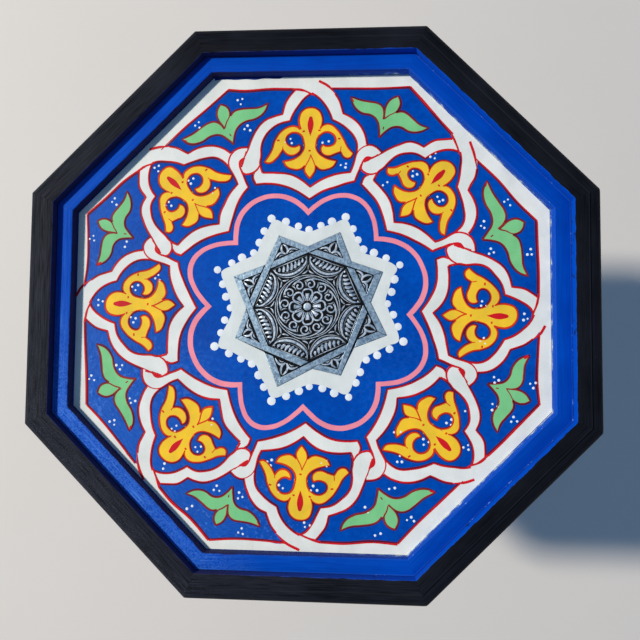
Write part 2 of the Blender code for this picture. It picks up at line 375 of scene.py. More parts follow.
def wood_and_paint(name, is_paint, deep, light, foot=None, sheen_amount=0.0):
    """Bare wood, painted where is_paint(tree, spots) gives 1, the paint paler towards one side with painted
    sheen and painted glints.
    """
    material, tree, shader, place = start_material(name)
    side = use_group(tree, SIDE_PLACE, {"Vector": place})["Vector"]
    spots = parts_of(tree, side)
    grain = use_group(tree, GRAIN, {"Vector": side})
    brush = use_group(tree, BRUSH, {"Vector": place, "Across": 260.0, "Along": 260.0})
    broad = cloud(tree, place, 30.0, 4.0)
    load = calc(tree, "MULTIPLY", calc(tree, "ADD", brush["Bristle"], broad), 0.5)
    coat = mingle(tree, remap(tree, load, 0.36, 0.64), deep, light)
    strokes = use_group(tree, BRUSH, {"Vector": side, "Across": 1300.0, "Along": 200.0})["Bristle"]
    # Painted sheen: a paler blue towards one side, streaked by the brush
    sheen_veil = wear_and_sheen_share(tree, place, SHEEN_SIDE, 0.05, 0.15, 0.0, sheen_amount)
    sheen_veil = calc(tree, "MULTIPLY", sheen_veil, remap(tree, strokes, 0.36, 0.64, 0.4, 1.6))
    coat = mingle(tree, sheen_veil, coat, BLUE_SHEEN)
    # Painted glints: lighter marks in patches towards one side
    patchy = remap(tree, cloud(tree, place, 11.0, 2.0), 0.4, 0.65)
    marks = use_group(tree, NICKS_AND_GLINTS, {"Vector": place, "Scale": 300.0, "Nearness": patchy})["Mask"]
    painted_sheen = calc(tree, "MULTIPLY", marks, wear_and_sheen_share(tree, place, WEAR_AND_GLINT_SIDE, 0.07, 0.15, 0.03, 0.34))
    coat = mingle(tree, painted_sheen, coat, BLUE_GLINT_AND_PATCH)
    specks = use_group(tree, NICKS_AND_GLINTS, {"Vector": place, "Scale": 820.0, "Nearness": 0.05})["Mask"]
    coat = mingle(tree, calc(tree, "MULTIPLY", specks, 0.7), coat, BLUE_SPECK)
    if foot is not None:
        waver = calc(tree, "MULTIPLY", calc(tree, "SUBTRACT", broad, 0.5), 0.004)
        edge = calc(tree, "ADD", FOOT_HEIGHT, waver)
        low = remap(tree, calc(tree, "SUBTRACT", edge, spots["Z"]), -0.0002, 0.0002)
        coat = mingle(tree, low, coat, foot)
    painted = is_paint(tree, spots)
    feed(tree, shader.inputs["Base Color"], mingle(tree, painted, grain["Color"], coat))
    feed(tree, shader.inputs["Roughness"], remap(tree, painted, 0.0, 1.0, 0.72, 0.42))
    shader.inputs["Specular IOR Level"].default_value = PAINT_SHEEN
    bare = calc(tree, "MULTIPLY", grain["Height"], calc(tree, "SUBTRACT", 1.0, painted))
    height = calc(tree, "ADD", bare, calc(tree, "MULTIPLY", brush["Bristle"], 0.8))
    raise_surface(tree, shader, height, 0.0003, 0.6)
    return material


def embossed_metal():
    """Tin rubbed bright on its high places, black in its hollows, with its chased strokes painted lighter
    than the plain bands as painted glints.
    """
    material, tree, shader, place = start_material("embossed_tin")
    up = parts_of(tree, place)["Z"]
    grime = cloud(tree, place, 260.0, 4.0, 0.6)
    high = remap(tree, up, STAR_FLOOR_Z + 0.08 * MM, STAR_FLOOR_Z + 0.26 * MM)
    bright = remap(tree, calc(tree, "SUBTRACT", high, calc(tree, "MULTIPLY", grime, 0.35)), 0.0, 0.4)
    tarnish = cloud(tree, place, 520.0, 5.0, 0.65)
    tone = remap(tree, tarnish, 0.34, 0.66)
    # The chased strokes are painted lighter than the plain bands, as painted glints
    chased_glinting = mingle(tree, tone, tint(122, 148, 170), tint(230, 238, 244))
    plain = mingle(tree, tone, tint(96, 124, 148), tint(182, 204, 218))
    is_plain = add(tree, "ShaderNodeAttribute", attribute_name="plain").outputs["Fac"]
    silver = mingle(tree, is_plain, chased_glinting, plain)
    feed(tree, shader.inputs["Base Color"], mingle(tree, bright, tint(6, 7, 11), silver))
    feed(tree, shader.inputs["Metallic"], remap(tree, bright, 0.0, 1.0, 0.0, 0.6))
    feed(tree, shader.inputs["Roughness"], remap(tree, bright, 0.0, 1.0, 0.7, 0.36))
    shader.inputs["Specular IOR Level"].default_value = 0.12
    raise_surface(tree, shader, calc(tree, "ADD", tarnish, grime), 0.0002, 0.5)
    return material


def zinc_steel():
    """Plated screw steel with a cloudy bloom."""
    material, tree, shader, place = start_material("zinc_screw")
    bloom = cloud(tree, place, 700.0, 4.0)
    feed(tree, shader.inputs["Base Color"], mingle(tree, bloom, tint(140, 140, 136), tint(196, 196, 190)))
    shader.inputs["Metallic"].default_value = 1.0
    feed(tree, shader.inputs["Roughness"], remap(tree, bloom, 0.3, 0.7, 0.3, 0.5))
    return material


# Mouldings and boards

RIM_FLAT = 10.0 * MM
RIM_QUIRK = 1.8 * MM
RIM_ROUND_DROP = 8.5 * MM
RIM_CHAMFER = 3.0 * MM
LEDGE_ARRIS = 0.8 * MM
NECK_FILLET = 3.0 * MM
ROUND_STEPS = 14
SOFT_EDGE = 0.35 * MM
CORNER_ROUND = 18.0 * MM


def finish_mesh(name, bm, material, sharp=35.0):
    """Turn a bmesh into a piece that rides on the table's one body."""
    bmesh.ops.recalc_face_normals(bm, faces=bm.faces)
    mesh = bpy.data.meshes.new(name)
    bm.to_mesh(mesh)
    bm.free()
    mesh.shade_smooth()
    mesh.set_sharp_from_angle(angle=math.radians(sharp))
    mesh.materials.append(material)
    piece = bpy.data.objects.new(name, mesh)
    bpy.context.scene.collection.objects.link(piece)
    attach(piece, ROOT)
    return piece


def soften(bm, width, least=25.0, ends=True):
    """Round every edge sharper than a given angle, with or without those of the many-sided ends."""
    limit = math.radians(least)
    edges = []
    for edge in bm.edges:
        at_end = any(len(face.verts) > 4 for face in edge.link_faces)
        if edge.is_manifold and edge.calc_face_angle() > limit and (ends or not at_end):
            edges.append(edge)
    bmesh.ops.bevel(
        bm, geom=edges, offset=width, offset_type="OFFSET", segments=2, profile=0.5,
        affect="EDGES", material=-1, clamp_overlap=True)


def half_side(reach):
    """Half the length of the octagon's side at a distance from the middle, less the glue line."""
    return reach * MITRE - 0.5 * GLUE_LINE / math.cos(HALF_TURN)


def moulding(profile):
    """One length at +X with a (distance, height) section and mitred ends."""
    bm = bmesh.new()
    section = [bm.verts.new((reach, -half_side(reach), height)) for reach, height in profile]
    grown = bmesh.ops.extrude_face_region(bm, geom=[bm.faces.new(section)])["geom"]
    for part in grown:
        if isinstance(part, bmesh.types.BMVert):
            part.co.y = -part.co.y
    bmesh.ops.recalc_face_normals(bm, faces=bm.faces)
    soften(bm, SOFT_EDGE, 25.0, False)
    return bm


def rim_length():
    """One length of the rim with the point of its outer corners rounded off."""
    bm = moulding(rim_profile())
    centre = (RIM_HIGH.x - CORNER_ROUND) / math.cos(HALF_TURN)
    for angle in (-HALF_TURN, -HALF_TURN / 2.0, HALF_TURN / 2.0, HALF_TURN):
        distance = centre * math.cos(HALF_TURN - abs(angle)) + CORNER_ROUND
        trim(bm, ((math.cos(angle), math.sin(angle), 0.0), distance))
    return bm


def rim_profile():
    """Flat top, quirk, quarter round and chamfered foot."""
    shoulder = RIM_LOW.x + RIM_FLAT
    width = RIM_HIGH.x - shoulder
    top = RIM_HIGH.z - RIM_QUIRK
    points = [(RIM_LOW.x, RIM_LOW.z), (RIM_LOW.x, RIM_HIGH.z), (shoulder, RIM_HIGH.z)]
    for step in range(ROUND_STEPS + 1):
        angle = math.pi / 2.0 * step / ROUND_STEPS
        points.append((shoulder + width * math.sin(angle), top - RIM_ROUND_DROP * (1.0 - math.cos(angle))))
    points.append((RIM_HIGH.x, RIM_LOW.z + RIM_CHAMFER))
    points.append((RIM_HIGH.x - RIM_CHAMFER, RIM_LOW.z))
    return points


def ledge_profile():
    """Square strip with its inner top edge eased."""
    return [
        (LEDGE_LOW.x, LEDGE_LOW.z),
        (LEDGE_HIGH.x, LEDGE_LOW.z),
        (LEDGE_HIGH.x, LEDGE_HIGH.z),
        (LEDGE_LOW.x + LEDGE_ARRIS, LEDGE_HIGH.z),
        (LEDGE_LOW.x, LEDGE_HIGH.z - LEDGE_ARRIS),
    ]


def neck_profile():
    """Hollow cove between two square edges."""
    width = NECK_HIGH.x - NECK_LOW.x - NECK_FILLET
    height = NECK_HIGH.z - NECK_LOW.z - 2.0 * NECK_FILLET
    points = [(NECK_LOW.x, NECK_LOW.z), (NECK_LOW.x, NECK_HIGH.z), (NECK_HIGH.x, NECK_HIGH.z)]
    for step in range(ROUND_STEPS + 1):
        angle = math.pi / 2.0 * step / ROUND_STEPS
        drop = height * (1.0 - math.cos(angle))
        points.append((NECK_HIGH.x - width * math.sin(angle), NECK_HIGH.z - NECK_FILLET - drop))
    points.append((NECK_LOW.x + NECK_FILLET, NECK_LOW.z))
    return points


def ring_of(name, node, make, material):
    """Eight copies of a piece round the table, each in place of its own solid."""
    for number in range(1, SIDES + 1):
        bm = make()
        spin = Matrix.Rotation(math.radians(TURN * (number - 1)), 3, "Z")
        bmesh.ops.rotate(bm, verts=bm.verts, cent=Vector(), matrix=spin)
        piece = finish_mesh(f"{name}_{number}", bm, material)
        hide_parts(f"{node}_{number}")


ARCH_JAMB = 36.0
ARCH_SPRING = 245.0
ARCH_BULGE = 6.0
ARCH_POINT = 10.0
ARCH_STEPS = 28
FOOT_HEIGHT = 0.034


def arch_path(grow, steps):
    """Right half of the arch, grown outwards, from its springing to its point, in millimetres."""
    radius = ARCH_JAMB + ARCH_BULGE + ARCH_POINT
    start = math.acos((radius - ARCH_BULGE) / radius)
    centre = ARCH_SPRING + radius * math.sin(start)
    wide = radius + grow
    first = math.acos((ARCH_JAMB + ARCH_POINT + grow) / wide)
    last = math.acos(ARCH_POINT / wide)
    points = []
    for step in range(steps + 1):
        angle = -first + (first + last) * step / steps
        points.append((wide * math.cos(angle) - ARCH_POINT, centre + wide * math.sin(angle)))
    return points


def side_board():
    """Board at +X with its pointed horseshoe arch, mitred on both long edges."""
    bm = bmesh.new()
    outer = half_side(BOARD_HIGH.x)
    right = [(ARCH_JAMB * MM, 0.0)] + [(x * MM, y * MM) for x, y in arch_path(0.0, ARCH_STEPS)]
    left = [(-across, up) for across, up in reversed(right[:-1])]
    outline = right + left
    outline += [(-outer, 0.0), (-outer, BOARD_HIGH.z), (outer, BOARD_HIGH.z), (outer, 0.0)]
    face = bm.faces.new([bm.verts.new((BOARD_HIGH.x, across, up)) for across, up in outline])
    grown = bmesh.ops.extrude_face_region(bm, geom=[face])["geom"]
    for part in grown:
        if isinstance(part, bmesh.types.BMVert):
            if abs(abs(part.co.y) - outer) < SOFT_EDGE:
                part.co.y = math.copysign(half_side(BOARD_LOW.x), part.co.y)
            part.co.x = BOARD_LOW.x
    bmesh.ops.recalc_face_normals(bm, faces=bm.faces)
    soften(bm, SOFT_EDGE, 40.0)
    return bm


# Drawing kit: paths are lists of (x, y) in millimetres, with SHARP as a third item at a corner

SHARP = True
CURVE_STEPS = 5
LINE_WIDTH = 1.9
FINE_LINE = 1.75
LINE_STRAY = 0.45    # share of a line's width that it wanders off the edge that it follows
BRIGHT_SHARE = 0.42
BRIGHT_LAP = 0.12
LINE_LIFT = 0.24
SHAPE_STEP = 0.004
SHAPE_CYCLE = 25


def mirrored(path):
    """The path on the other side of its axis."""
    return [(-point[0], *point[1:]) for point in path]


def heading(path, index):
    """Direction of a path at one of its points."""
    before = path[max(index - 1, 0)]
    after = path[min(index + 1, len(path) - 1)]
    return Vector((after[0] - before[0], after[1] - before[1])).normalized()


def brush_line(path, width, ends=(0.6, 0.6)):
    """Knots (x, y, half width, sharp) of a line, thinner at its ends."""
    knots = [[point[0], point[1], width / 2.0, len(point) > 2] for point in path]
    knots[0][2] *= ends[0]
    knots[-1][2] *= ends[1]
    return knots


class Sheet:
    """A flat painted area: how its drawing is placed, and which layers it is painted into."""

    shapes_laid = 0

    def __init__(self, layers, spot, matrix, seed):
        self.layers = layers
        self.spot = spot
        self.matrix = matrix
        self.seed = seed
        self.strokes = {}

    def lay(self, colour, curve, flat, lift):
        """Turn a curve into a thin mesh in its layer."""
        holder = bpy.data.objects.new("stroke", curve)
        mesh = bpy.data.meshes.new_from_object(holder)
        thin = Matrix.Diagonal((1.0, 1.0, flat, 1.0))
        mesh.transform(self.matrix @ Matrix.Translation((0.0, 0.0, lift * MM)) @ thin)
        self.layers[colour].from_mesh(mesh)
        bpy.data.objects.remove(holder)
        bpy.data.curves.remove(curve)
        bpy.data.meshes.remove(mesh)

    def spline(self, curve, knots, closed):
        """Add one smooth spline through placed knots."""
        spline = curve.splines.new("BEZIER")
        spline.bezier_points.add(len(knots) - 1)
        spline.use_cyclic_u = closed
        spline.resolution_u = CURVE_STEPS
        for point, (x, y, half, sharp) in zip(spline.bezier_points, knots):
            point.co = (*self.spot(x, y), 0.0)
            point.radius = half
            kind = "VECTOR" if sharp else "AUTO"
            point.handle_left_type = kind
            point.handle_right_type = kind

    def lines(self, colour, strokes, flat=0.14, lift=LINE_LIFT, closed=False):
        """Keep brush lines of one colour and height until the sheet is finished."""
        self.strokes.setdefault((colour, flat, lift, closed), []).extend(strokes)

    def finish(self):
        """Lay the kept lines as flattened tubes."""
        for (colour, flat, lift, closed), strokes in self.strokes.items():
            curve = bpy.data.curves.new("lines", "CURVE")
            curve.dimensions = "3D"
            curve.twist_mode = "Z_UP"
            curve.bevel_depth = MM
            curve.bevel_resolution = 1
            curve.use_fill_caps = True
            for knots in strokes:
                self.spline(curve, knots, closed)
            self.lay(colour, curve, flat, lift)

    def shape(self, colour, path, lift, hole=None, thick=0.2):
        """A filled outline, each a hair higher than the last so that no two lie in one plane."""
        curve = bpy.data.curves.new("shape", "CURVE")
        curve.dimensions = "2D"
        curve.fill_mode = "BOTH"
        curve.extrude = thick * MM / 2.0
        for outline in (path, hole or []):
            if outline:
                self.spline(curve, brush_line(outline, 2.0, (1.0, 1.0)), True)
        self.lay(colour, curve, 1.0, lift + SHAPE_STEP * (Sheet.shapes_laid % SHAPE_CYCLE))
        Sheet.shapes_laid += 1

    def dot(self, colour, x, y, radius, height):
        """A round dab of paint."""
        place = Matrix.Translation((*self.spot(x, y), 0.0))
        squash = Matrix.Diagonal((radius * MM, radius * MM, height * MM, 1.0))
        bmesh.ops.create_uvsphere(
            self.layers[colour], u_segments=10, v_segments=5, radius=1.0,
            matrix=self.matrix @ place @ squash)

    def edge(self, path, side, over="red", width=LINE_WIDTH):
        """Line along the edge of a pale shape, on its left for side 1: bright over it, dark past it."""
        bright = []
        dark = []
        for index, point in enumerate(path):
            run = heading(path, index)
            across = Vector((-run.y, run.x)) * side
            spot = Vector((point[0] / 17.0, point[1] / 17.0, self.seed))
            stray = LINE_STRAY * width * noise.noise(spot)
            reach = max(stray + BRIGHT_SHARE * width, 0.6)
            sharp = len(point) > 2
            inner = Vector(point[:2]) + across * (reach - BRIGHT_LAP) / 2.0
            middle = Vector(point[:2]) + across * stray
            bright.append((inner.x, inner.y, (reach + BRIGHT_LAP) / 2.0, sharp))
            dark.append((middle.x, middle.y, width / 2.0, sharp))
        self.lines(over, [bright])
        self.lines("maroon", [dark], 0.05, 0.01)


# Ornament of one lobe, drawn with its axis up the page, y from the middle of the top

RIGHT_STRAND_OUTSIDE = [
    (6.5, 167.2), (10, 165), (14, 162.5), (18, 158.5), (21.5, 153), (23.5, 147), (24.5, 143.5, SHARP),
    (30, 141), (36, 136), (40.5, 129), (42.5, 122), (42.5, 116.5)]
RIGHT_STRAND_INSIDE = [
    (0.8, 159), (5, 156.5), (10, 151.5), (14, 145), (16.3, 139, SHARP), (22, 136), (28, 131.5),
    (33, 126), (34.8, 121), (34.8, 114.5)]
LEFT_STRAND_TOP = [(-10.5, 162.2), (-7, 161.7), (-4, 160.6), (0.5, 158.5)]
LEFT_STRAND_OUTSIDE = [
    (-10.5, 162), (-14, 158), (-18, 152.5), (-20.5, 144, SHARP), (-27, 142), (-33, 138.5), (-38, 132),
    (-41, 125), (-43.5, 117), (-46, 111)]
LEFT_STRAND_END = [
    (-46, 111), (-48.3, 108.6), (-48.5, 105.5), (-47, 101.5), (-45.5, 99.6), (-41, 99.5), (-37, 102),
    (-34.8, 106)]
LEFT_STRAND_INSIDE = [
    (0, 158.5), (-4, 156), (-9, 150), (-12.5, 143.5), (-14.5, 138.5, SHARP), (-22, 136.5), (-28, 132),
    (-32.5, 126), (-34, 119), (-33.8, 112), (-34.5, 107), (-33, 100)]
BAND_TOP = [
    (-33, 100, SHARP), (-24, 100), (-14, 98.5), (-6, 94.5), (0, 89.5, SHARP), (6, 94), (14, 97.5),
    (22, 99.5), (30, 100.3, SHARP), (32, 105), (34, 112)]
HOOK_TOP = [(34, 112), (35, 114.5), (38, 118), (44, 120.3), (49, 119), (53.5, 115)]
BAND_FOOT = [
    (-38.5, 100.5), (-39.3, 96.8), (-37.3, 91.8, SHARP), (-30, 91.7), (-20, 90.5), (-10, 86.5),
    (0, 80.5, SHARP), (10, 86), (20, 90), (27, 92), (33.5, 93.2, SHARP), (35, 97), (37, 101.5), (39, 106),
    (41, 108), (45, 109.5), (51, 113)]
BAND_THUMB = [(-34.5, 104.5)]
THUMB_LINE = [(-34.8, 106.4), (-34.2, 103.4), (-33, 100)]
HOOK_BLOB = [(40.4, 107.2), (42.8, 109.2), (46.8, 110.6)]

FLEUR_HEAD = [
    (-7.3, 132, SHARP), (-8.5, 136), (-8.5, 141), (-5.7, 146.3), (0, 148.3), (5.7, 146.3), (8.5, 141),
    (8.5, 136), (7.3, 132, SHARP)]
FLEUR_TEAR = [(0, 141.6), (1.7, 138.5), (2.1, 134.5), (0, 126.8, SHARP), (-2.1, 134.5), (-1.7, 138.5)]
FLEUR_STEM = [
    (-7.3, 133.5), (-5.6, 127), (-4.5, 121), (-4.4, 116.5), (-3, 111), (3, 111), (4.4, 116.5), (4.5, 121),
    (5.6, 127), (7.3, 133.5)]
LEFT_ARM = [
    (-7, 132.5, SHARP), (-9, 134.6), (-13.8, 135.8), (-20.2, 131.6), (-25.2, 124.5), (-28.2, 118.5),
    (-32.2, 114, SHARP), (-29.6, 110.8), (-25.6, 111.2), (-22.6, 115.5, SHARP), (-18.5, 114),
    (-13.5, 112.3), (-9, 114), (-7.6, 117.6), (-8.8, 120.6, SHARP), (-11.5, 119.6), (-15, 120),
    (-17.6, 122), (-18, 125), (-16, 128), (-12, 129.3), (-8.2, 127.8), (-5.4, 124.5), (-4.5, 121, SHARP)]
RIGHT_ARM = [
    (7, 132.5, SHARP), (9, 134.4), (13.4, 135), (20, 131.4), (24.6, 124.2), (26.8, 116.5), (32, 108, SHARP),
    (28.4, 106.6), (23.3, 110.2), (20.6, 114.5), (19.6, 117, SHARP), (17.5, 114), (13.5, 112.4), (9, 114),
    (6.8, 117.5), (7.4, 120.3, SHARP), (11.5, 119), (15.5, 120.5), (17.2, 124.5), (15, 128.4),
    (10.5, 129.4), (6.5, 127), (4.5, 121, SHARP)]
LEAF = [
    (-4.5, 121), (-4.4, 118), (-6, 114.5), (-9.5, 111.5), (-14, 109.7), (-19.5, 108.6, SHARP),
    (-17.2, 104.6), (-13, 102.5), (-7.8, 102.1), (-3.8, 104.9)]
LEAF_HEART = [(-1, 108, SHARP), (0.5, 114), (0.5, 121, SHARP)]
TAIL_LEAF = [
    (-0.5, 113, SHARP), (-2.2, 109), (-3.8, 104.5), (-3.4, 101), (-1.8, 98), (0.5, 95, SHARP), (3.2, 98),
    (4.6, 101.5), (3.6, 105), (1.2, 109)]
SPLITS = [[(-22.8, 119.3), (-22.5, 116)], [(19.5, 119.2), (19.6, 117)]]
FLEUR_DABS = [
    [(-22.2, 125), (-20.4, 125.1)], [(21.7, 124.1), (23.5, 123.8)], [(-7.3, 131), (-5.7, 130.8)],
    [(4, 130.6), (5.6, 130.4)], [(-0.4, 115.9), (1.2, 115.7)]]

# Sprig between two lobes, its axis through a corner
SPRIG_WING = [
    (-2, 149.5, SHARP), (-3.5, 154), (-6.5, 157.6), (-11, 158.8), (-17, 157.6), (-24, 155.8),
    (-32, 155.3, SHARP), (-27.5, 150), (-20, 147.6), (-12, 148.4), (-6.5, 146.4), (-3, 141.8),
    (0, 136, SHARP), (1, 146)]
SPRIG_RIGHT_WING = [
    (-1.8, 149.5, SHARP), (1, 153.4), (4.6, 156.8), (8, 158.8), (12, 158.9), (18, 157.3), (25, 155.3),
    (32, 155.3, SHARP), (27, 150), (20, 147.6), (12, 148.6), (6.5, 146.6), (3, 142), (0, 136, SHARP),
    (-1, 146)]
SPRIG_BUD = [
    (0.5, 168.5, SHARP), (4.2, 164.5), (5, 160), (4, 156.6), (1, 153.4), (-1.8, 149.5, SHARP),
    (-3.4, 153.5), (-4.6, 158.5), (-3.6, 164)]

# Inner edge of the white border, and how far each side's left and right thirds stray outwards from it
BORDER_RED = 162.8
BORDER_THIRD = 38.0
BORDER_STRAY = (
    (-0.6, -0.5), (2.1, -1.4), (0, 0), (-0.8, -1.1), (1.5, 2.2), (2.8, 1.9), (-0.5, 1.2), (1.4, -3.4))
BORDER_LEFT_KNOTS = ((-48, -0.5), (-28, 0.2), (-13, -0.3))
BORDER_RIGHT_KNOTS = ((11.5, 0.2), (32, -0.3), (50, -0.6))

# Where the red line of each right strand starts on the border
TAILS = (
    (6.1, 168), (-2.7, 168.4), (9.9, 167.2), (2.4, 167.4), (3.9, 170.3), (-4.4, 170.7), (8.9, 171.6),
    (2.3, 167.8))

PAINT_LIFT = 0.04
PAINT_CREASE = 15.0


def paint_strands(sheet, tail):
    """White interlaced strands of one lobe and their red edges."""
    right = RIGHT_STRAND_OUTSIDE + RIGHT_STRAND_INSIDE[::-1] + [(-5, 161.6), (0, 167)]
    left = LEFT_STRAND_TOP[::-1] + LEFT_STRAND_OUTSIDE + LEFT_STRAND_END[1:] + LEFT_STRAND_INSIDE[-4::-1]
    band = BAND_TOP + HOOK_TOP[1:] + BAND_FOOT[::-1] + BAND_THUMB
    sheet.shape("white", corners(right, (0, 11, 12, 21, 22, 23)), PAINT_LIFT)
    sheet.shape("white", corners(left, (0, 3)), PAINT_LIFT)
    sheet.shape("white", corners(band, (15,)), PAINT_LIFT)
    sheet.edge([*RIGHT_STRAND_OUTSIDE[3:-1], (42.6, 120.4)], -1)
    bend = (tail[0] / 2.0 + 10.0, tail[1] / 2.0 + 80.1)
    sheet.lines("red", [brush_line([tail, bend, (18.4, 158.2)], 1.9, (1.0, 0.3))])
    sheet.edge(RIGHT_STRAND_INSIDE, 1)
    sheet.edge(LEFT_STRAND_OUTSIDE, 1)
    sheet.edge(LEFT_STRAND_INSIDE, -1)
    sheet.edge(BAND_TOP, -1)
    sheet.edge(BAND_FOOT, 1)
    sheet.edge(HOOK_TOP, -1)
    over = ([*LEFT_STRAND_TOP, (3.2, 157.6)], LEFT_STRAND_END, THUMB_LINE)
    sheet.lines("red", [brush_line(path, 1.4) for path in over])
    sheet.lines("red", [brush_line(HOOK_BLOB, 2.7, (0.4, 0.4))])


def paint_cartouche(sheet):
    """White closed band of a lobe that stands by itself, with its red edges."""
    outside = [(0, 171, SHARP), *RIGHT_STRAND_OUTSIDE[1:], (40.5, 105), *BAND_FOOT[10:5:-1]]
    inside = [(0, 159, SHARP), *RIGHT_STRAND_INSIDE[1:], (33, 106), *BAND_TOP[8:3:-1]]
    outer = outside + mirrored(outside)[-2:0:-1]
    inner = inside + mirrored(inside)[-2:0:-1]
    sheet.shape("white", outer, PAINT_LIFT, inner)
    sheet.edge([*outer, outer[0]], -1)
    sheet.edge([*inner, inner[0]], 1)


def corners(path, sharp_at):
    """The path with some of its points made sharp."""
    return [(*point[:2], SHARP) if index in sharp_at else point for index, point in enumerate(path)]


def paint_fleur(sheet, changed=False):
    """Yellow fleur with red outlines and dabs, left for right where it is changed over."""
    turn = mirrored if changed else list
    hand = -1 if changed else 1
    leaf = LEAF + LEAF_HEART
    for shape in (FLEUR_HEAD, FLEUR_STEM, LEFT_ARM, RIGHT_ARM, leaf, mirrored(leaf), TAIL_LEAF):
        sheet.shape("yellow", turn(shape), PAINT_LIFT)
    tail = [*TAIL_LEAF, TAIL_LEAF[0]]
    outlines = ((FLEUR_HEAD, -1), (LEFT_ARM, 1), (RIGHT_ARM, -1), (LEAF, 1), (mirrored(LEAF), -1), (tail, 1))
    for path, side in outlines:
        sheet.edge(turn(path), side * hand, "rust", FINE_LINE)
    small = [brush_line(turn(path), 1.0) for path in SPLITS]
    small += [brush_line(turn(path), 1.5, (0.8, 0.8)) for path in FLEUR_DABS]
    sheet.lines("rust", small)
    sheet.shape("red", FLEUR_TEAR, PAINT_LIFT + 0.12)


def paint_sprig(sheet, blob=2.2):
    """Green sprig of three leaves with dark red outlines."""
    for shape in (SPRIG_WING, SPRIG_RIGHT_WING, SPRIG_BUD):
        sheet.shape("green", shape, PAINT_LIFT)
    sheet.edge(SPRIG_WING[:-1], 1, "russet", FINE_LINE)
    sheet.edge(SPRIG_RIGHT_WING[2:-1], -1, "russet", FINE_LINE)
    sheet.edge([*SPRIG_BUD, SPRIG_BUD[0]], -1, "russet", FINE_LINE)
    sheet.lines("red", [brush_line([(-31.5, 154.6), (-29, 152.6)], blob)])
    sheet.lines("russet", [brush_line([(0, 144.5), (0.4, 142.5)], 1.4)])


def paint_dots(sheet, clusters):
    """White dots in twos and threes."""
    for x, y in clusters:
        start = chance.uniform(0.0, 360.0)
        count = chance.choice((2, 3, 3))
        for turn in range(count):
            angle = math.radians(start + 360.0 / count * turn + chance.uniform(-25.0, 25.0))
            reach = chance.uniform(1.9, 2.6)
            sheet.dot("dots", x + reach * math.cos(angle), y + reach * math.sin(angle),
                      chance.uniform(0.75, 1.1), 0.3)


# Hand drift of the painted top, sector by sector clockwise from the top of the picture

TURN_DRIFT = (0.3, -0.8, 1.7, -0.8, 1.7, -1.3, 1.3, -2.1)
REACH_DRIFT = (0.0, -1.0, 0.5, 0.5, 2.0, 2.5, 2.0, 1.5)
DRIFT_START = 72.0
DRIFT_FULL = 95.0
DRIFT_FADE = 142.0
DRIFT_END = 172.0


# Shift of each lobe's tip: clockwise and outwards
TIP_ASIDE = (0, -3.7, 0, -4.2, 1.2, -3.7, 1.8, -4.0)
TIP_OUTWARDS = (0, -1.2, 0, 0.3, 0.2, 1.3, 1.6, -0.6)
TIP_START = 128.0
TIP_FULL = 150.0
TIP_FADE = 163.0
TIP_END = 171.0
TIP_NARROW = 18.0
TIP_WIDE = 36.0

# How far the star's tips and the pink line's cusps are off their places, to the right and up, and its middle
STAR_RIGHT = (0.2, -0.9, 1.5, 2.5, 1.6, -0.6, 0.3, 0.5)
STAR_UP = (1.4, 4.7, 4.5, 4.0, 0.2, 0.2, 0.9, 0.6)
STAR_MIDDLE = (-0.3, 2.0)
STAR_STEADY = 50.0
PINK_RIGHT = (0, -0.4, 2.5, 1.3, -3.0, 1.2, -2.8, -3.4)
PINK_UP = (0.9, 1.7, -3.5, -3.6, 0, -5.0, 2.0, -0.9)


def drift(values, angle):
    """Value between two sectors, eased."""
    place = (angle / TURN) % SIDES
    first = int(place)
    share = 0.5 - 0.5 * math.cos(math.pi * (place - first))
    return values[first % SIDES] * (1.0 - share) + values[(first + 1) % SIDES] * share


def held(reach):
    """How far the drift acts at a distance from the middle."""
    rise = (reach - DRIFT_START) / (DRIFT_FULL - DRIFT_START)
    fall = (DRIFT_END - reach) / (DRIFT_END - DRIFT_FADE)
    return max(0.0, min(1.0, rise, fall))


def unsteady(x, y, seed, amount):
    """A point moved by the unsteadiness of the hand."""
    broad = noise.noise_vector(Vector((x / 28.0, y / 28.0, seed)))
    fine = noise.noise_vector(Vector((x / 9.0, y / 9.0, seed + 5.5)))
    return (x + amount * (broad.x + 0.35 * fine.x)) * MM, (y + amount * (broad.y + 0.35 * fine.y)) * MM


def top_spot(turn, amount=0.7):
    """Placing of a drawing whose axis is turned clockwise from +Y."""

    def spot(x, y):
        reach = math.hypot(x, y)
        angle = turn + math.degrees(math.atan2(x, y))
        hold = held(reach)
        reach += hold * drift(REACH_DRIFT, angle)
        angle = math.radians(angle + hold * drift(TURN_DRIFT, angle))
        return unsteady(reach * math.sin(angle), reach * math.cos(angle), 2.0, amount)

    return spot


def tip_spot(spot, number):
    """A placing of one lobe's drawing with the shift of its tip."""

    def shifted(x, y):
        rise = (y - TIP_START) / (TIP_FULL - TIP_START)
        fall = (TIP_END - y) / (TIP_END - TIP_FADE)
        aside = (TIP_WIDE - abs(x)) / (TIP_WIDE - TIP_NARROW)
        hold = max(0.0, min(1.0, rise, fall, aside))
        return spot(x + hold * TIP_ASIDE[number], y + hold * TIP_OUTWARDS[number])

    return shifted


def star_place(x, y):
    """A point of the star, which is laid a little askew."""
    angle = math.degrees(math.atan2(x, y)) - TURN / 2.0
    share = min(1.0, math.hypot(x, y) / STAR_STEADY)
    right = STAR_MIDDLE[0] * (1.0 - share) + drift(STAR_RIGHT, angle) * share
    up = STAR_MIDDLE[1] * (1.0 - share) + drift(STAR_UP, angle) * share
    return x + right, y + up


def pink_place(x, y):
    """A point of the pink line, drawn a little askew."""
    angle = math.degrees(math.atan2(x, y))
    return x + drift(PINK_RIGHT, angle), y + drift(PINK_UP, angle)


def moved(spot, move):
    """A placing whose drawing is first moved across and outwards and widened."""
    across, outwards, width = move
    return lambda x, y: spot(x * width + across, y + outwards)


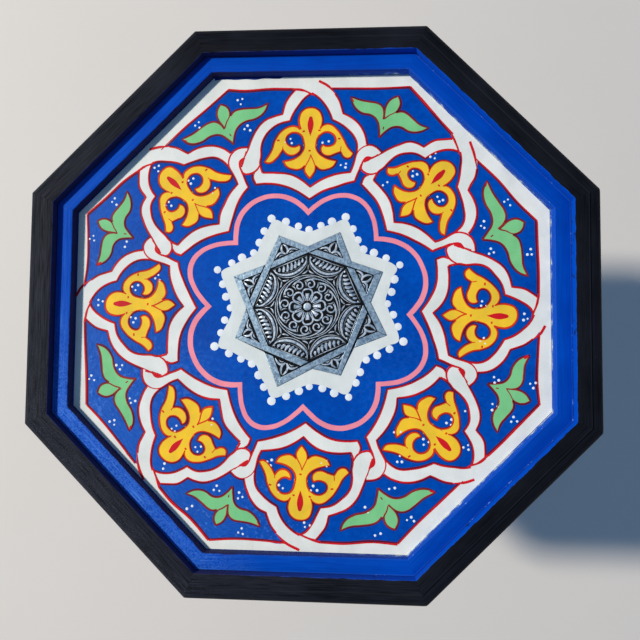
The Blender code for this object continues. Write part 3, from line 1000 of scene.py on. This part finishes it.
def side_spot(seed):
    """Placing of a drawing on a side board: across and up, with y as on the top."""

    def spot(x, y):
        moved = unsteady(x * SIDE_SCALE, y * SIDE_SCALE, seed, 0.6)
        return moved[0], moved[1] + SIDE_BASE * MM

    return spot


SIDE_SCALE = 1.0
SIDE_BASE = 306.0

LAYER_NAMES = (
    "white", "red", "maroon", "yellow", "rust", "green", "russet", "dots", "pink", "cream", "beads", "lap")


def new_layers():
    """One empty mesh for each colour."""
    return {name: bmesh.new() for name in LAYER_NAMES}


# Places of the clusters of dots in each lobe and each corner
LOBE_DOTS = (
    [(-15, 123), (11, 122.5), (25.3, 105.5)],
    [(-14, 124.3), (11.5, 124), (-13.4, 143.5), (-24, 104.3)],
    [(-7.5, 124.8), (18.5, 125), (1.8, 153.2)],
    [(-14, 127.3), (8, 125), (-10, 148), (-30, 129.5), (28, 121), (16.8, 106.4)],
    [(-9.3, 125.5), (15.4, 126.5), (-4.3, 151.6), (-15.7, 107), (23.3, 108.4)],
    [(-13.4, 124), (9.5, 126.3), (-4.9, 151.7), (-7, 103)],
    [(-10.6, 126), (12.8, 125.4), (2.3, 152.8), (20.8, 108.5)],
    [(-14.8, 126.5), (10, 126.3), (-2.7, 151.9), (16, 108.9)])
CORNER_DOTS = (
    [],
    [(-17, 161), (20.7, 161), (-9, 139.7), (9.7, 136.5)],
    [(-13.3, 167.3), (15.3, 164), (12.5, 147.8), (-7.3, 141.2)],
    [(-11.7, 164.2), (13, 165.9), (12.7, 145.7), (-8.5, 138)],
    [(-19, 164.3), (23.2, 163.8), (-8.7, 139.5), (10.5, 141.3)],
    [(-22, 162.3), (12.7, 165.5), (-11.8, 141.7), (13, 141.8)],
    [(-13.3, 167.8), (18.7, 163), (-7.5, 141.2)],
    [(-22.5, 157), (12.3, 161.7), (9.8, 139.8)])

# How each sprig is moved and widened: across, outwards, width; and the red blob on its left tip
SPRIG_MOVES = (
    (-0.5, -0.2, 0.97), (-0.2, -1.6, 1.11), (-2.0, 0.9, 0.94), (0.3, -1.7, 1.09), (-0.5, -0.6, 0.95),
    (0.9, -3.0, 1.0), (-0.4, 1.5, 0.96), (-2.9, -3.2, 1.04))
SPRIG_BLOBS = (2.0, 1.8, 3.2, 2.6, 1.6, 2.6, 3.4, 1.4)

# Middle of the top
PINK_WIDTH = 3.4
PINK_CUSP = 1.35
PINK_LOBE = [
    (-26.8, 64.7, SHARP), (-24, 70.5), (-18.5, 78.5), (-10, 84.8), (0, 87), (10, 84.8), (18.5, 78.5),
    (24, 70.5)]
CREAM_NOTCH = 55.0
CREAM_TIP = 70.0
CREAM_WAVES = ((0.06, 0.36, 0.68, 0.95), (0.05, 0.32, 0.64, 0.94))
BEAD_RADIUS = 3.1
BEADS_ON_EDGE = 3
BEAD_REACH = 1.75


# Ledge paint that laps onto the border at the top of the picture
LAP_NUMBER = 0
BLUE_LAP = [
    (-71, 172, SHARP), (-20, 172, SHARP), (-20.6, 170.7), (-26, 170.1), (-33, 170.9), (-40, 169.9),
    (-47, 170.4), (-55, 169.7), (-62, 170.3), (-70.3, 169.8, SHARP)]


def border_line(number):
    """Height at the middle and slope of one side's border line."""
    left, right = BORDER_STRAY[number % SIDES]
    return BORDER_RED + (left + right) / 2.0, (right - left) / (2.0 * BORDER_THIRD)


def border_corner(number, hand):
    """Where a side's border line meets the next one to the right, for hand 1, or to the left, for -1."""
    height, slope = border_line(number)
    next_height, next_slope = border_line(number + hand)
    slope *= hand
    next_slope *= hand
    reach = next_height * math.sqrt(2.0) - height * (1.0 + next_slope)
    x = reach / (1.0 - next_slope + slope + slope * next_slope)
    return hand * x, height + slope * x, SHARP


def paint_border(sheet, number):
    """White border against the ledge: one side's length of the octagon ring."""
    outer = LEDGE_LOW.x / MM - 0.2
    height, slope = border_line(number)
    left = [border_corner(number, -1)]
    left += [(x, height + slope * x + y) for x, y in BORDER_LEFT_KNOTS]
    right = [(x, height + slope * x + y) for x, y in BORDER_RIGHT_KNOTS]
    right.append(border_corner(number, 1))
    under_strands = [(-7, 160.8, SHARP), (1, 159.8, SHARP), (8, 162, SHARP)]
    path = [*left, *under_strands, *right, (outer * MITRE, outer, SHARP), (-outer * MITRE, outer, SHARP)]
    sheet.shape("white", path, PAINT_LIFT)
    sheet.edge(left, 1, "red", 2.5)
    start = max(right[0][0], TAILS[number][0] / 2.0 + 10.6)
    sheet.edge([(start, height + slope * start + 0.2), *right[1:]], 1, "red", 2.0)
    end = left[-1]
    sheet.lines("red", [brush_line([end, (-8.6, (end[1] + 161.0) / 2.0), (-4, 160.6)], 1.7, (1.0, 0.8))])
    if number == LAP_NUMBER:
        sheet.shape("lap", BLUE_LAP, PAINT_LIFT + 0.12)


def pink_outline(grow):
    """Closed line of eight lobes with cusps between them, grown outwards."""
    points = []
    for number in range(SIDES):
        angle = math.radians(TURN * (number + 0.5))
        for index, point in enumerate(PINK_LOBE):
            run = heading(PINK_LOBE, index)
            away = Vector((-run.y, run.x)) * grow
            if index == 0:
                away = Vector(point[:2]).normalized() * PINK_CUSP * grow
            x = point[0] + away.x
            y = point[1] + away.y
            turned = (x * math.cos(angle) + y * math.sin(angle), y * math.cos(angle) - x * math.sin(angle))
            points.append((*turned, *point[2:]))
    return points


def paint_middle(layers):
    """Pink lobed line, cream star and its beads."""
    flat_top = Matrix.Translation((0.0, 0.0, PANEL_Z))
    cream = []
    for number in range(SIDES):
        for degrees, reach in ((TURN * number, CREAM_NOTCH), (TURN * (number + 0.5), CREAM_TIP)):
            angle = math.radians(degrees)
            cream.append((reach * math.sin(angle), reach * math.cos(angle), SHARP))
    outline = []
    for index, point in enumerate(cream):
        start = Vector(point[:2])
        run = Vector(cream[(index + 1) % len(cream)][:2]) - start
        away = Vector((-run.y, run.x)).normalized()
        for share in CREAM_WAVES[index % 2]:
            wave = start + run * share + away * chance.uniform(-0.6, 0.6)
            outline.append((wave.x, wave.y))
    laid = top_spot(0.0, 0.6)
    lobed = Sheet(layers, lambda x, y: laid(*pink_place(x, y)), flat_top, 3.0)
    lobed.shape("pink", pink_outline(PINK_WIDTH / 2.0), PAINT_LIFT, pink_outline(-PINK_WIDTH / 2.0))
    middle = Sheet(layers, lambda x, y: laid(*star_place(x, y)), flat_top, 3.0)
    middle.shape("cream", outline, PAINT_LIFT)
    for index, point in enumerate(cream):
        start = Vector(point[:2])
        end = Vector(cream[(index + 1) % len(cream)][:2])
        run = end - start
        away = Vector((-run.y, run.x)).normalized()
        for step in range(BEADS_ON_EDGE):
            spot = start + run * (step / BEADS_ON_EDGE)
            spot += start.normalized() * BEAD_REACH if step == 0 else away * BEAD_REACH
            spot += Vector((chance.uniform(-0.7, 0.7), chance.uniform(-0.7, 0.7)))
            middle.dot("beads", spot.x, spot.y, BEAD_RADIUS * chance.uniform(0.88, 1.08), 0.35)


def paint_top(layers):
    """Everything painted on the top panel."""
    flat_top = Matrix.Translation((0.0, 0.0, PANEL_Z))
    for number in range(SIDES):
        spot = top_spot(TURN * number)
        strands = Sheet(layers, tip_spot(spot, number), flat_top, number * 3.7)
        paint_border(strands, number)
        paint_strands(strands, TAILS[number])
        strands.finish()
        sheet = Sheet(layers, spot, flat_top, number * 3.7)
        paint_fleur(sheet, number == 0)
        paint_dots(sheet, LOBE_DOTS[number])
        sheet.finish()
        corner_spot = top_spot(TURN * (number + 0.5))
        sprig = Sheet(layers, moved(corner_spot, SPRIG_MOVES[number]), flat_top, number * 2.3 + 1.0)
        paint_sprig(sprig, SPRIG_BLOBS[number])
        sprig.finish()
        paint_dots(Sheet(layers, corner_spot, flat_top, 0.0), CORNER_DOTS[number])
    paint_middle(layers)


# Embossed star: two interlaced square bands, hatched leaves, scrolls and a rosette

STAR_TIP = 58.0
STAR_APOTHEM = STAR_TIP * math.cos(math.radians(45.0))
STAR_BAND = 4.2
STAR_GAP = 0.5
STAR_FLOOR = 0.75
STAR_FLOOR_Z = PANEL_Z + STAR_FLOOR * MM
STAR_RELIEF = 0.32
STAR_BEVEL = 0.12
STAR_CREASE = 18.0
STROKE_HEIGHT = 0.45
TIP_REACH = (59.0, 59.0, 59.5, 55.5, 60.5, 56.0, 59.0, 57.5)
SCROLLS = 12
PETALS = 8


def star_base():
    """Flat eight-pointed plate."""
    notch = STAR_APOTHEM / math.cos(HALF_TURN)
    bm = bmesh.new()
    ring = []
    for index in range(2 * SIDES):
        reach = notch if index % 2 == 0 else STAR_TIP
        angle = HALF_TURN * index
        ring.append(bm.verts.new((reach * math.sin(angle), reach * math.cos(angle), 0.27)))
    grown = bmesh.ops.extrude_face_region(bm, geom=[bm.faces.new(ring)])["geom"]
    walls = [part for part in grown if isinstance(part, bmesh.types.BMVert)]
    bmesh.ops.translate(bm, verts=walls, vec=Vector((0.0, 0.0, STAR_FLOOR - 0.27)))
    return bm


def trim(bm, away):
    """Cut a solid by a plane (normal, distance) and close it, keeping the near side."""
    normal, distance = away
    everything = bm.verts[:] + bm.edges[:] + bm.faces[:]
    bmesh.ops.bisect_plane(
        bm, geom=everything, dist=1e-5, plane_co=Vector(normal) * distance, plane_no=Vector(normal),
        clear_outer=True)
    bmesh.ops.holes_fill(bm, edges=[edge for edge in bm.edges if edge.is_boundary], sides=0)


def band_piece(planes):
    """A stretch of star band at the top of the plate, cut by planes."""
    bm = bmesh.new()
    middle = STAR_APOTHEM - STAR_BAND / 2.0
    size = Matrix.Diagonal((2.0 * STAR_TIP, STAR_BAND, STAR_RELIEF + 0.2, 1.0))
    place = Matrix.Translation((0.0, middle, STAR_FLOOR + STAR_RELIEF / 2.0 - 0.1))
    bmesh.ops.create_cube(bm, size=1.0, matrix=place @ size)
    for plane in planes:
        trim(bm, plane)
    bmesh.ops.recalc_face_normals(bm, faces=bm.faces)
    soften(bm, STAR_BEVEL)
    return bm


def star_bands(bm):
    """Both squares, each side passing under at one crossing and over at the other."""
    slope = math.sqrt(0.5)
    right_end = ((slope, -slope, 0.0), -0.1)
    left_end = ((-slope, -slope, 0.0), -0.1)
    over_outside = ((slope, -slope, 0.0), -STAR_APOTHEM - STAR_GAP)
    over_inside = ((-slope, slope, 0.0), STAR_APOTHEM - STAR_BAND - STAR_GAP)
    for planes in ((left_end, over_outside), (right_end, over_inside)):
        for number in range(SIDES):
            piece = band_piece(planes)
            turn = Matrix.Rotation(-math.radians(TURN * (number + 0.5)), 3, "Z")
            bmesh.ops.rotate(piece, verts=piece.verts, cent=Vector(), matrix=turn)
            mesh = bpy.data.meshes.new("band")
            piece.to_mesh(mesh)
            piece.free()
            bm.from_mesh(mesh)
            bpy.data.meshes.remove(mesh)


def arc(middle, radius, first, last, steps):
    """Points of an arc, angles in degrees from the y axis, clockwise."""
    points = []
    for step in range(steps + 1):
        angle = math.radians(first + (last - first) * step / steps)
        points.append((middle[0] + radius * math.sin(angle), middle[1] + radius * math.cos(angle)))
    return points


def swelled(path, widths):
    """Knots of a line whose width changes from end to end."""
    knots = []
    for index, point in enumerate(path):
        place = index / (len(path) - 1) * (len(widths) - 1)
        first = min(int(place), len(widths) - 2)
        width = widths[first] + (widths[first + 1] - widths[first]) * (place - first)
        knots.append((point[0], point[1], width / 2.0, len(point) > 2))
    return knots


LENS_CHORD = 36.2
LENS_HALF = 14.9
LENS_LINES = ((11.6, 0.9), (9.4, 2.2), (7.4, 0.7))    # depth and width of the arcs that hang under a band
LENS_VEINS = 4
LENS_VEIN_GAP = 3.0


def lens_arc(depth):
    """Middle and radius of the arc that hangs this deep under its chord."""
    radius = (LENS_HALF ** 2 + depth ** 2) / (2.0 * depth)
    return LENS_CHORD - depth + radius, radius


def own_side(point, width):
    """A point of a line held on its own side of the two notch axes."""
    reach = math.hypot(*point)
    limit = HALF_TURN - (width / 2.0 + 0.2) / reach
    angle = max(-limit, min(limit, math.atan2(*point)))
    return reach * math.sin(angle), reach * math.cos(angle)


def tip_strokes():
    """Chasing on the axis of a star tip: leaf in the tip, hatched lens under the band."""
    strokes = []
    for side in (-1, 1):
        leaf = [(0.2 * side, 42.6), (2.1 * side, 45.4), (1.7 * side, 48.2), (0.2 * side, 50.6)]
        wing = [(0.8 * side, 42.6), (3.4 * side, 44.8), (6.4 * side, 44.0), (8.8 * side, 42.1)]
        under = [(1.9 * side, 42.2), (4.0 * side, 43.0), (5.8 * side, 42.1)]
        strokes.append(swelled(leaf, (0.9, 2.0, 1.8, 0.6)))
        strokes.append(swelled(wing, (0.9, 1.9, 1.7, 0.7)))
        strokes.append(swelled(under, (0.6, 1.1, 0.6)))
    for depth, width in LENS_LINES:
        middle, radius = lens_arc(depth)
        reach = math.degrees(math.asin(LENS_HALF / radius))
        line = [own_side(point, width) for point in arc((0, middle), radius, 180 - reach, 180 + reach, 12)]
        strokes.append(swelled(line, (0.4, 0.7 * width, width, width, width, 0.7 * width, 0.4)))
    strokes.append(swelled([(-13.2, 35.6), (0, 35.6), (13.2, 35.6)], (0.6, 1.0, 0.6)))
    middle, radius = lens_arc(LENS_LINES[-1][0] - 0.7)
    for number in range(-LENS_VEINS, LENS_VEINS + 1):
        x = number * LENS_VEIN_GAP
        deep = middle - math.sqrt(radius ** 2 - x ** 2) + 0.3
        long = 34.8 - deep
        lean = 0.42 * long
        vein = [(x + lean / 2, 34.8), (x + lean / 5, deep + 0.45 * long), (x - lean / 2, deep)]
        swell = 0.5 + 0.5 * min(1.0, long / 4.0)
        strokes.append(swelled(vein, (1.1 * swell, 2.6 * swell, 1.9 * swell)))
    return strokes


def notch_strokes():
    """Chasing on the axis of a notch: spandrel between two lenses."""
    strokes = [swelled([(0, 32), (0, 29.5), (0, 27)], (0.4, 1.0, 0.7))]
    for side in (-1, 1):
        leaf = [(0.5 * side, 26.6), (2.0 * side, 25.2), (4.6 * side, 24.0)]
        strokes.append(swelled(leaf, (0.9, 1.5, 0.6)))
    return strokes


def scroll_strokes():
    """One scroll of the ring and the long leaf that sweeps round outside it."""
    curl = []
    for step in range(11):
        share = step / 10
        angle = math.radians(-60 + 410 * share)
        radius = 3.7 - 2.6 * share
        curl.append((radius * math.sin(angle), 16.4 + radius * math.cos(angle)))
    sweep = []
    for step in range(7):
        share = step / 6
        angle = math.radians(-14 + 54 * share)
        reach = 19.2 + 2.9 * math.sin(math.pi * 0.5 * share)
        sweep.append((reach * math.sin(angle), reach * math.cos(angle)))
    lobe = [(4.5, 13.9), (5.4, 16.4), (5.0, 18.6)]
    return [
        swelled(curl, (1.1, 1.4, 1.3, 1.8)),
        swelled(sweep, (0.7, 1.3, 1.2, 1.0, 0.6)),
        swelled(lobe, (0.6, 1.2, 0.6))]


def petal_strokes():
    """One petal of the rosette: a rounded lobe round a raised tongue."""
    half = [(-1.0, 4.3), (-2.4, 7.2), (-3.6, 9.9), (-2.5, 12.2)]
    lobe = [*half, (0, 12.9), *mirrored(half)[::-1]]
    tongue = [(0, 4.0), (0, 6.6), (0, 9.6)]
    return [swelled(lobe, (0.9, 1.5, 1.7, 1.5, 0.9)), swelled(tongue, (0.9, 2.7, 3.4))]


def star_piece(material):
    """Whole embossed star in place of the plain plate."""
    layers = {"star": star_base()}
    star_bands(layers["star"])
    layers["star"].transform(Matrix.Diagonal((MM, MM, MM, 1.0)))
    plain = layers["star"].faces.layers.float.new("plain")
    for face in layers["star"].faces:
        face[plain] = 1.0
    chasing = [(tip_strokes(), SIDES, 0.5), (notch_strokes(), SIDES, 0.0), (scroll_strokes(), SCROLLS, 0.25),
               (petal_strokes(), PETALS, 0.0)]
    for strokes, count, start in chasing:
        for number in range(count):
            turn = Matrix.Rotation(-math.tau / count * (number + start), 4, "Z")
            sheet = Sheet(layers, lambda x, y: (x * MM, y * MM), turn, 0.0)
            sheet.lines("star", strokes, STROKE_HEIGHT, STAR_FLOOR)
            sheet.finish()
    bm = layers["star"]
    ring = Sheet(layers, lambda x, y: (x * MM, y * MM), Matrix(), 0.0)
    ring.lines("star", [swelled(arc((0, 0), 23.1, 0, 345, 23), (0.9, 0.9))], STROKE_HEIGHT, STAR_FLOOR, True)
    ring.finish()
    swell = Matrix.Diagonal((3.1 * MM, 3.1 * MM, 0.3 * MM, 1.0))
    button = Matrix.Translation((0.0, 0.0, STAR_FLOOR * MM)) @ swell
    bmesh.ops.create_uvsphere(bm, u_segments=24, v_segments=12, radius=1.0, matrix=button)
    for vert in bm.verts:
        reach = vert.co.xy.length / MM
        place = (math.degrees(math.atan2(vert.co.x, vert.co.y)) / TURN - 0.5) % SIDES
        tip = int(round(place)) % SIDES
        grow = max(0.0, (reach - 44.0) / (STAR_TIP - 44.0))
        vert.co.xy *= 1.0 + grow * (TIP_REACH[tip] / STAR_TIP - 1.0)
        vert.co.xy = Vector(star_place(vert.co.x / MM, vert.co.y / MM)) * MM
        vert.co.z += PANEL_Z
    piece = finish_mesh("embossed_star", bm, material, STAR_CREASE)
    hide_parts("star_plate")


# Painting of the side boards

ARCH_BAND_NEAR = 2.5
ARCH_BAND_FAR = 9.0
ARCH_BEADS = 11
ARCH_BEAD_GAP = 14.0
FRAME_OUTSIDE = 62.0
FRAME_WIDTH = 4.5
FRAME_TOP = 488.0
SIDE_SPRIG_MOVE = (0.0, 206.0 - SIDE_BASE, 0.92)
SIDE_DOTS = ((-47, 42), (47, 42), (-48, 172), (48, 172))


def side_matrix(number):
    """Sheet standing on the outside of a board: x across, y up, z out."""
    angle = math.radians(TURN * (number - 1))
    out = Vector((math.cos(angle), math.sin(angle), 0.0))
    across = Vector((-out.y, out.x, 0.0))
    up = Vector((0.0, 0.0, 1.0))
    matrix = Matrix((across, up, out)).transposed().to_4x4()
    matrix.translation = out * BOARD_HIGH.x
    return matrix


def arch_line(grow, steps=5):
    """The arch grown outwards, foot to foot, on a side sheet."""
    foot = FOOT_HEIGHT / MM + 3.0
    half = [(ARCH_JAMB + grow, foot, SHARP), *arch_path(grow, steps)]
    half[-1] = (0.0, half[-1][1], SHARP)
    points = half + mirrored(half[:-1])[::-1]
    return [(point[0], point[1] - SIDE_BASE, *point[2:]) for point in points]


def frame_line(inset):
    """Line round the side's edges from foot to foot, drawn in by a distance."""
    foot = FOOT_HEIGHT / MM + 3.0 - SIDE_BASE
    top = FRAME_TOP - SIDE_BASE - inset
    across = FRAME_OUTSIDE - inset
    left = [(-across, foot, SHARP)]
    left += [(-across, foot + (top - foot) * share) for share in (0.25, 0.5, 0.75)]
    left.append((-across, top, SHARP))
    return left + [(0, top)] + mirrored(left)[::-1]


def paint_side(layers, number):
    """Ornament of one side board."""
    spot = side_spot(number * 1.9)
    matrix = side_matrix(number)
    sheet = Sheet(layers, spot, matrix, number * 1.3)
    near_line = arch_line(ARCH_BAND_NEAR)
    far_line = arch_line(ARCH_BAND_FAR)
    ends = (0, len(near_line) - 1, len(near_line))
    sheet.shape("white", corners(near_line + far_line[::-1], ends), PAINT_LIFT)
    sheet.edge(near_line, -1)
    sheet.edge(far_line, 1)
    inner_frame = frame_line(FRAME_WIDTH)
    sheet.shape("white", frame_line(0.0) + inner_frame[::-1], PAINT_LIFT)
    sheet.edge(inner_frame, 1)
    for x, y in arch_path(ARCH_BEAD_GAP, ARCH_BEADS):
        for hand in (-1, 1):
            radius = BEAD_RADIUS * chance.uniform(0.7, 0.82)
            sheet.dot("beads", hand * max(x, 0.0), y - SIDE_BASE, radius, 0.35)
    paint_cartouche(sheet)
    paint_fleur(sheet)
    paint_dots(sheet, LOBE_DOTS[number % SIDES])
    paint_dots(sheet, SIDE_DOTS)
    sheet.finish()
    sprig = Sheet(layers, moved(spot, SIDE_SPRIG_MOVE), matrix, number * 2.9)
    paint_sprig(sprig, 1.4)
    sprig.finish()


# Floor, lamps, world and camera

FLOOR_SIZE = 40.0
KEY_DIRECTION = (-0.590, 0.176, 0.788)
KEY_DISTANCE = 7.0
KEY_SIZE = 0.55
KEY_POWER = 522.0
KEY_COLOUR = (1.0, 0.93, 0.825)
SKY_RAMP = 0.5
HORIZON_COLOUR = (0.45, 0.66, 1.0, 1.0)
HORIZON_STRENGTH = 0.29
ZENITH_COLOUR = (0.33, 0.58, 1.0, 1.0)
ZENITH_STRENGTH = 0.34
BACKDROP_COLOUR = (0.97, 0.98, 1.0, 1.0)
BACKDROP_STRENGTH = 0.66


def lamp(name, place, size, power, colour):
    """Soft square lamp aimed at the middle of the table."""
    data = bpy.data.lights.new(name, "AREA")
    data.size = size
    data.energy = power
    data.color = colour
    holder = bpy.data.objects.new(name, data)
    holder.location = place
    aim = Vector((0.0, 0.0, 0.4)) - Vector(place)
    holder.rotation_euler = aim.to_track_quat("-Z", "Y").to_euler()
    bpy.context.scene.collection.objects.link(holder)


def set_stage():
    """Plain pale floor, soft light and the camera."""
    bm = bmesh.new()
    bmesh.ops.create_grid(bm, x_segments=2, y_segments=2, size=FLOOR_SIZE / 2.0)
    mesh = bpy.data.meshes.new("floor")
    bm.to_mesh(mesh)
    bm.free()
    material, tree, shader, place = start_material("pale_floor")
    pale = mingle(tree, cloud(tree, place, 3.0), tint(212, 207, 199), tint(218, 213, 206))
    feed(tree, shader.inputs["Base Color"], pale)
    shader.inputs["Roughness"].default_value = 0.8
    mesh.materials.append(material)
    floor = bpy.data.objects.new("floor", mesh)
    bpy.context.scene.collection.objects.link(floor)
    key_place = Vector(KEY_DIRECTION) * KEY_DISTANCE + Vector((0.0, 0.0, 0.4))
    lamp("key_lamp", key_place, KEY_SIZE, KEY_POWER, KEY_COLOUR)
    scene = bpy.context.scene
    scene.world = bpy.data.worlds.new("studio")
    scene.world.use_nodes = True
    dome = scene.world.node_tree
    sky = dome.nodes["Background"]
    height = parts_of(dome, add(dome, "ShaderNodeTexCoord").outputs["Generated"])["Z"]
    share = remap(dome, height, 0.0, SKY_RAMP)
    seen = add(dome, "ShaderNodeLightPath").outputs["Is Camera Ray"]
    light = mingle(dome, share, HORIZON_COLOUR, ZENITH_COLOUR)
    feed(dome, sky.inputs["Color"], mingle(dome, seen, light, BACKDROP_COLOUR))
    power = remap(dome, share, 0.0, 1.0, HORIZON_STRENGTH, ZENITH_STRENGTH)
    more = calc(dome, "MULTIPLY", seen, calc(dome, "SUBTRACT", BACKDROP_STRENGTH, power))
    feed(dome, sky.inputs["Strength"], calc(dome, "ADD", power, more))
    view = bpy.data.cameras.new("camera")
    view.lens = CAMERA_LENS
    view.sensor_width = CAMERA_SENSOR
    view.shift_x = CAMERA_SHIFT
    camera = bpy.data.objects.new("camera", view)
    camera.location = CAMERA_PLACE
    camera.rotation_euler = [math.radians(value) for value in CAMERA_TURN]
    scene.collection.objects.link(camera)
    scene.camera = camera
    scene.view_settings.view_transform = "Standard"


# Build

def dress_solid(node, material):
    """Give a solid that stays its finish."""
    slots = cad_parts[node].data.materials
    slots.clear()
    slots.append(material)


def build():
    """Make every piece."""
    # Rim and neck: painted sheen towards one side and a painted highlight line along an edge; the rim also
    # painted shade and light on its inner wall
    black = streaked_paint(
        "black_satin", RIM_BLACKS, (RIM_LOW.x + RIM_FLAT,), (RIM_LOW.x + 0.3 * MM, *RIM_WALL_SHADED_AND_LIT),
        chipped=0.0, line=0.08, dust=0.7)
    neck = streaked_paint("black_neck", RIM_BLACKS, (NECK_HIGH.x,), chipped=0.3, line=0.1)
    # Ledge: painted sheen, chips with painted highlights, painted shade and light on its inner wall, and
    # lighter patches
    blue = streaked_paint(
        "blue_ledge", LEDGE_BLUES, (LEDGE_LOW.x, LEDGE_HIGH.x), (LEDGE_LOW.x + 0.5 * MM, *LEDGE_WALL_SHADED_AND_LIT),
        BLUE_GLINT_AND_PATCH, lap=LAPPED_WHITE)
    # Panel: painted sheen and painted glints towards one side
    panel = wood_and_paint(
        "blue_panel", lambda tree, spots: remap(tree, spots["Z"], PANEL_Z - 0.002, PANEL_Z - 0.001),
        BLUE_DEEP, BLUE_LIGHT, sheen_amount=0.4)
    board = wood_and_paint(
        "blue_board", lambda tree, spots: remap(tree, spots["X"], BOARD_LOW.x + 0.0006, BOARD_LOW.x + 0.001),
        BLUE_DEEP, BLUE_LIGHT, tint(26, 27, 34))
    wood = wood_and_paint(
        "bare_pine", lambda tree, spots: remap(tree, spots["Z"], 9.0, 10.0), BLUE_DEEP, BLUE_LIGHT)
    ring_of("rim_length", "rim_moulding", rim_length, black)
    ring_of("ledge_length", "ledge_strip", lambda: moulding(ledge_profile()), blue)
    ring_of("neck_length", "neck_moulding", lambda: moulding(neck_profile()), neck)
    ring_of("arched_board", "side_board", side_board, board)
    dress_solid("top_panel", panel)
    zinc = zinc_steel()
    for number in range(1, SIDES + 1):
        dress_solid(f"corner_block_{number}", wood)
        dress_solid(f"block_screw_{number}", zinc)
    star_piece(embossed_metal())

    paints = {
        "white": dab_paint("white_paint", tint(212, 217, 212), tint(227, 230, 225), 0.55),
        "cream": dab_paint("cream_paint", tint(206, 213, 211), tint(220, 226, 224), 0.55),
        "lap": dab_paint("blue_overlap", tint(12, 42, 118), tint(22, 58, 144)),
        "red": dab_paint("red_paint", tint(188, 20, 32), tint(210, 26, 38)),
        "maroon": dab_paint("red_over_blue", tint(66, 20, 56), tint(102, 20, 42)),
        "yellow": dab_paint("yellow_paint", tint(222, 184, 54), tint(247, 200, 48)),
        "rust": dab_paint("red_over_yellow", tint(198, 46, 24), tint(220, 60, 26)),
        "green": dab_paint("green_paint", tint(112, 188, 126), tint(126, 201, 138)),
        "russet": dab_paint("red_over_green", tint(122, 32, 40), tint(150, 44, 44)),
        "dots": dab_paint("dot_white", tint(222, 230, 238), tint(236, 240, 244)),
        "pink": dab_paint("pink_paint", tint(226, 132, 148), tint(244, 147, 160)),
        "beads": dab_paint("bead_white", tint(216, 224, 230), tint(232, 236, 238)),
    }
    top = new_layers()
    paint_top(top)
    sides = new_layers()
    for number in range(1, SIDES + 1):
        paint_side(sides, number)
    for prefix, layers in (("top", top), ("side", sides)):
        for colour, bm in layers.items():
            if len(bm.verts) == 0:
                bm.free()
                continue
            bmesh.ops.remove_doubles(bm, verts=bm.verts, dist=1e-7)
            finish_mesh(f"{prefix}_{colour}", bm, paints[colour], PAINT_CREASE)


build()
set_stage()
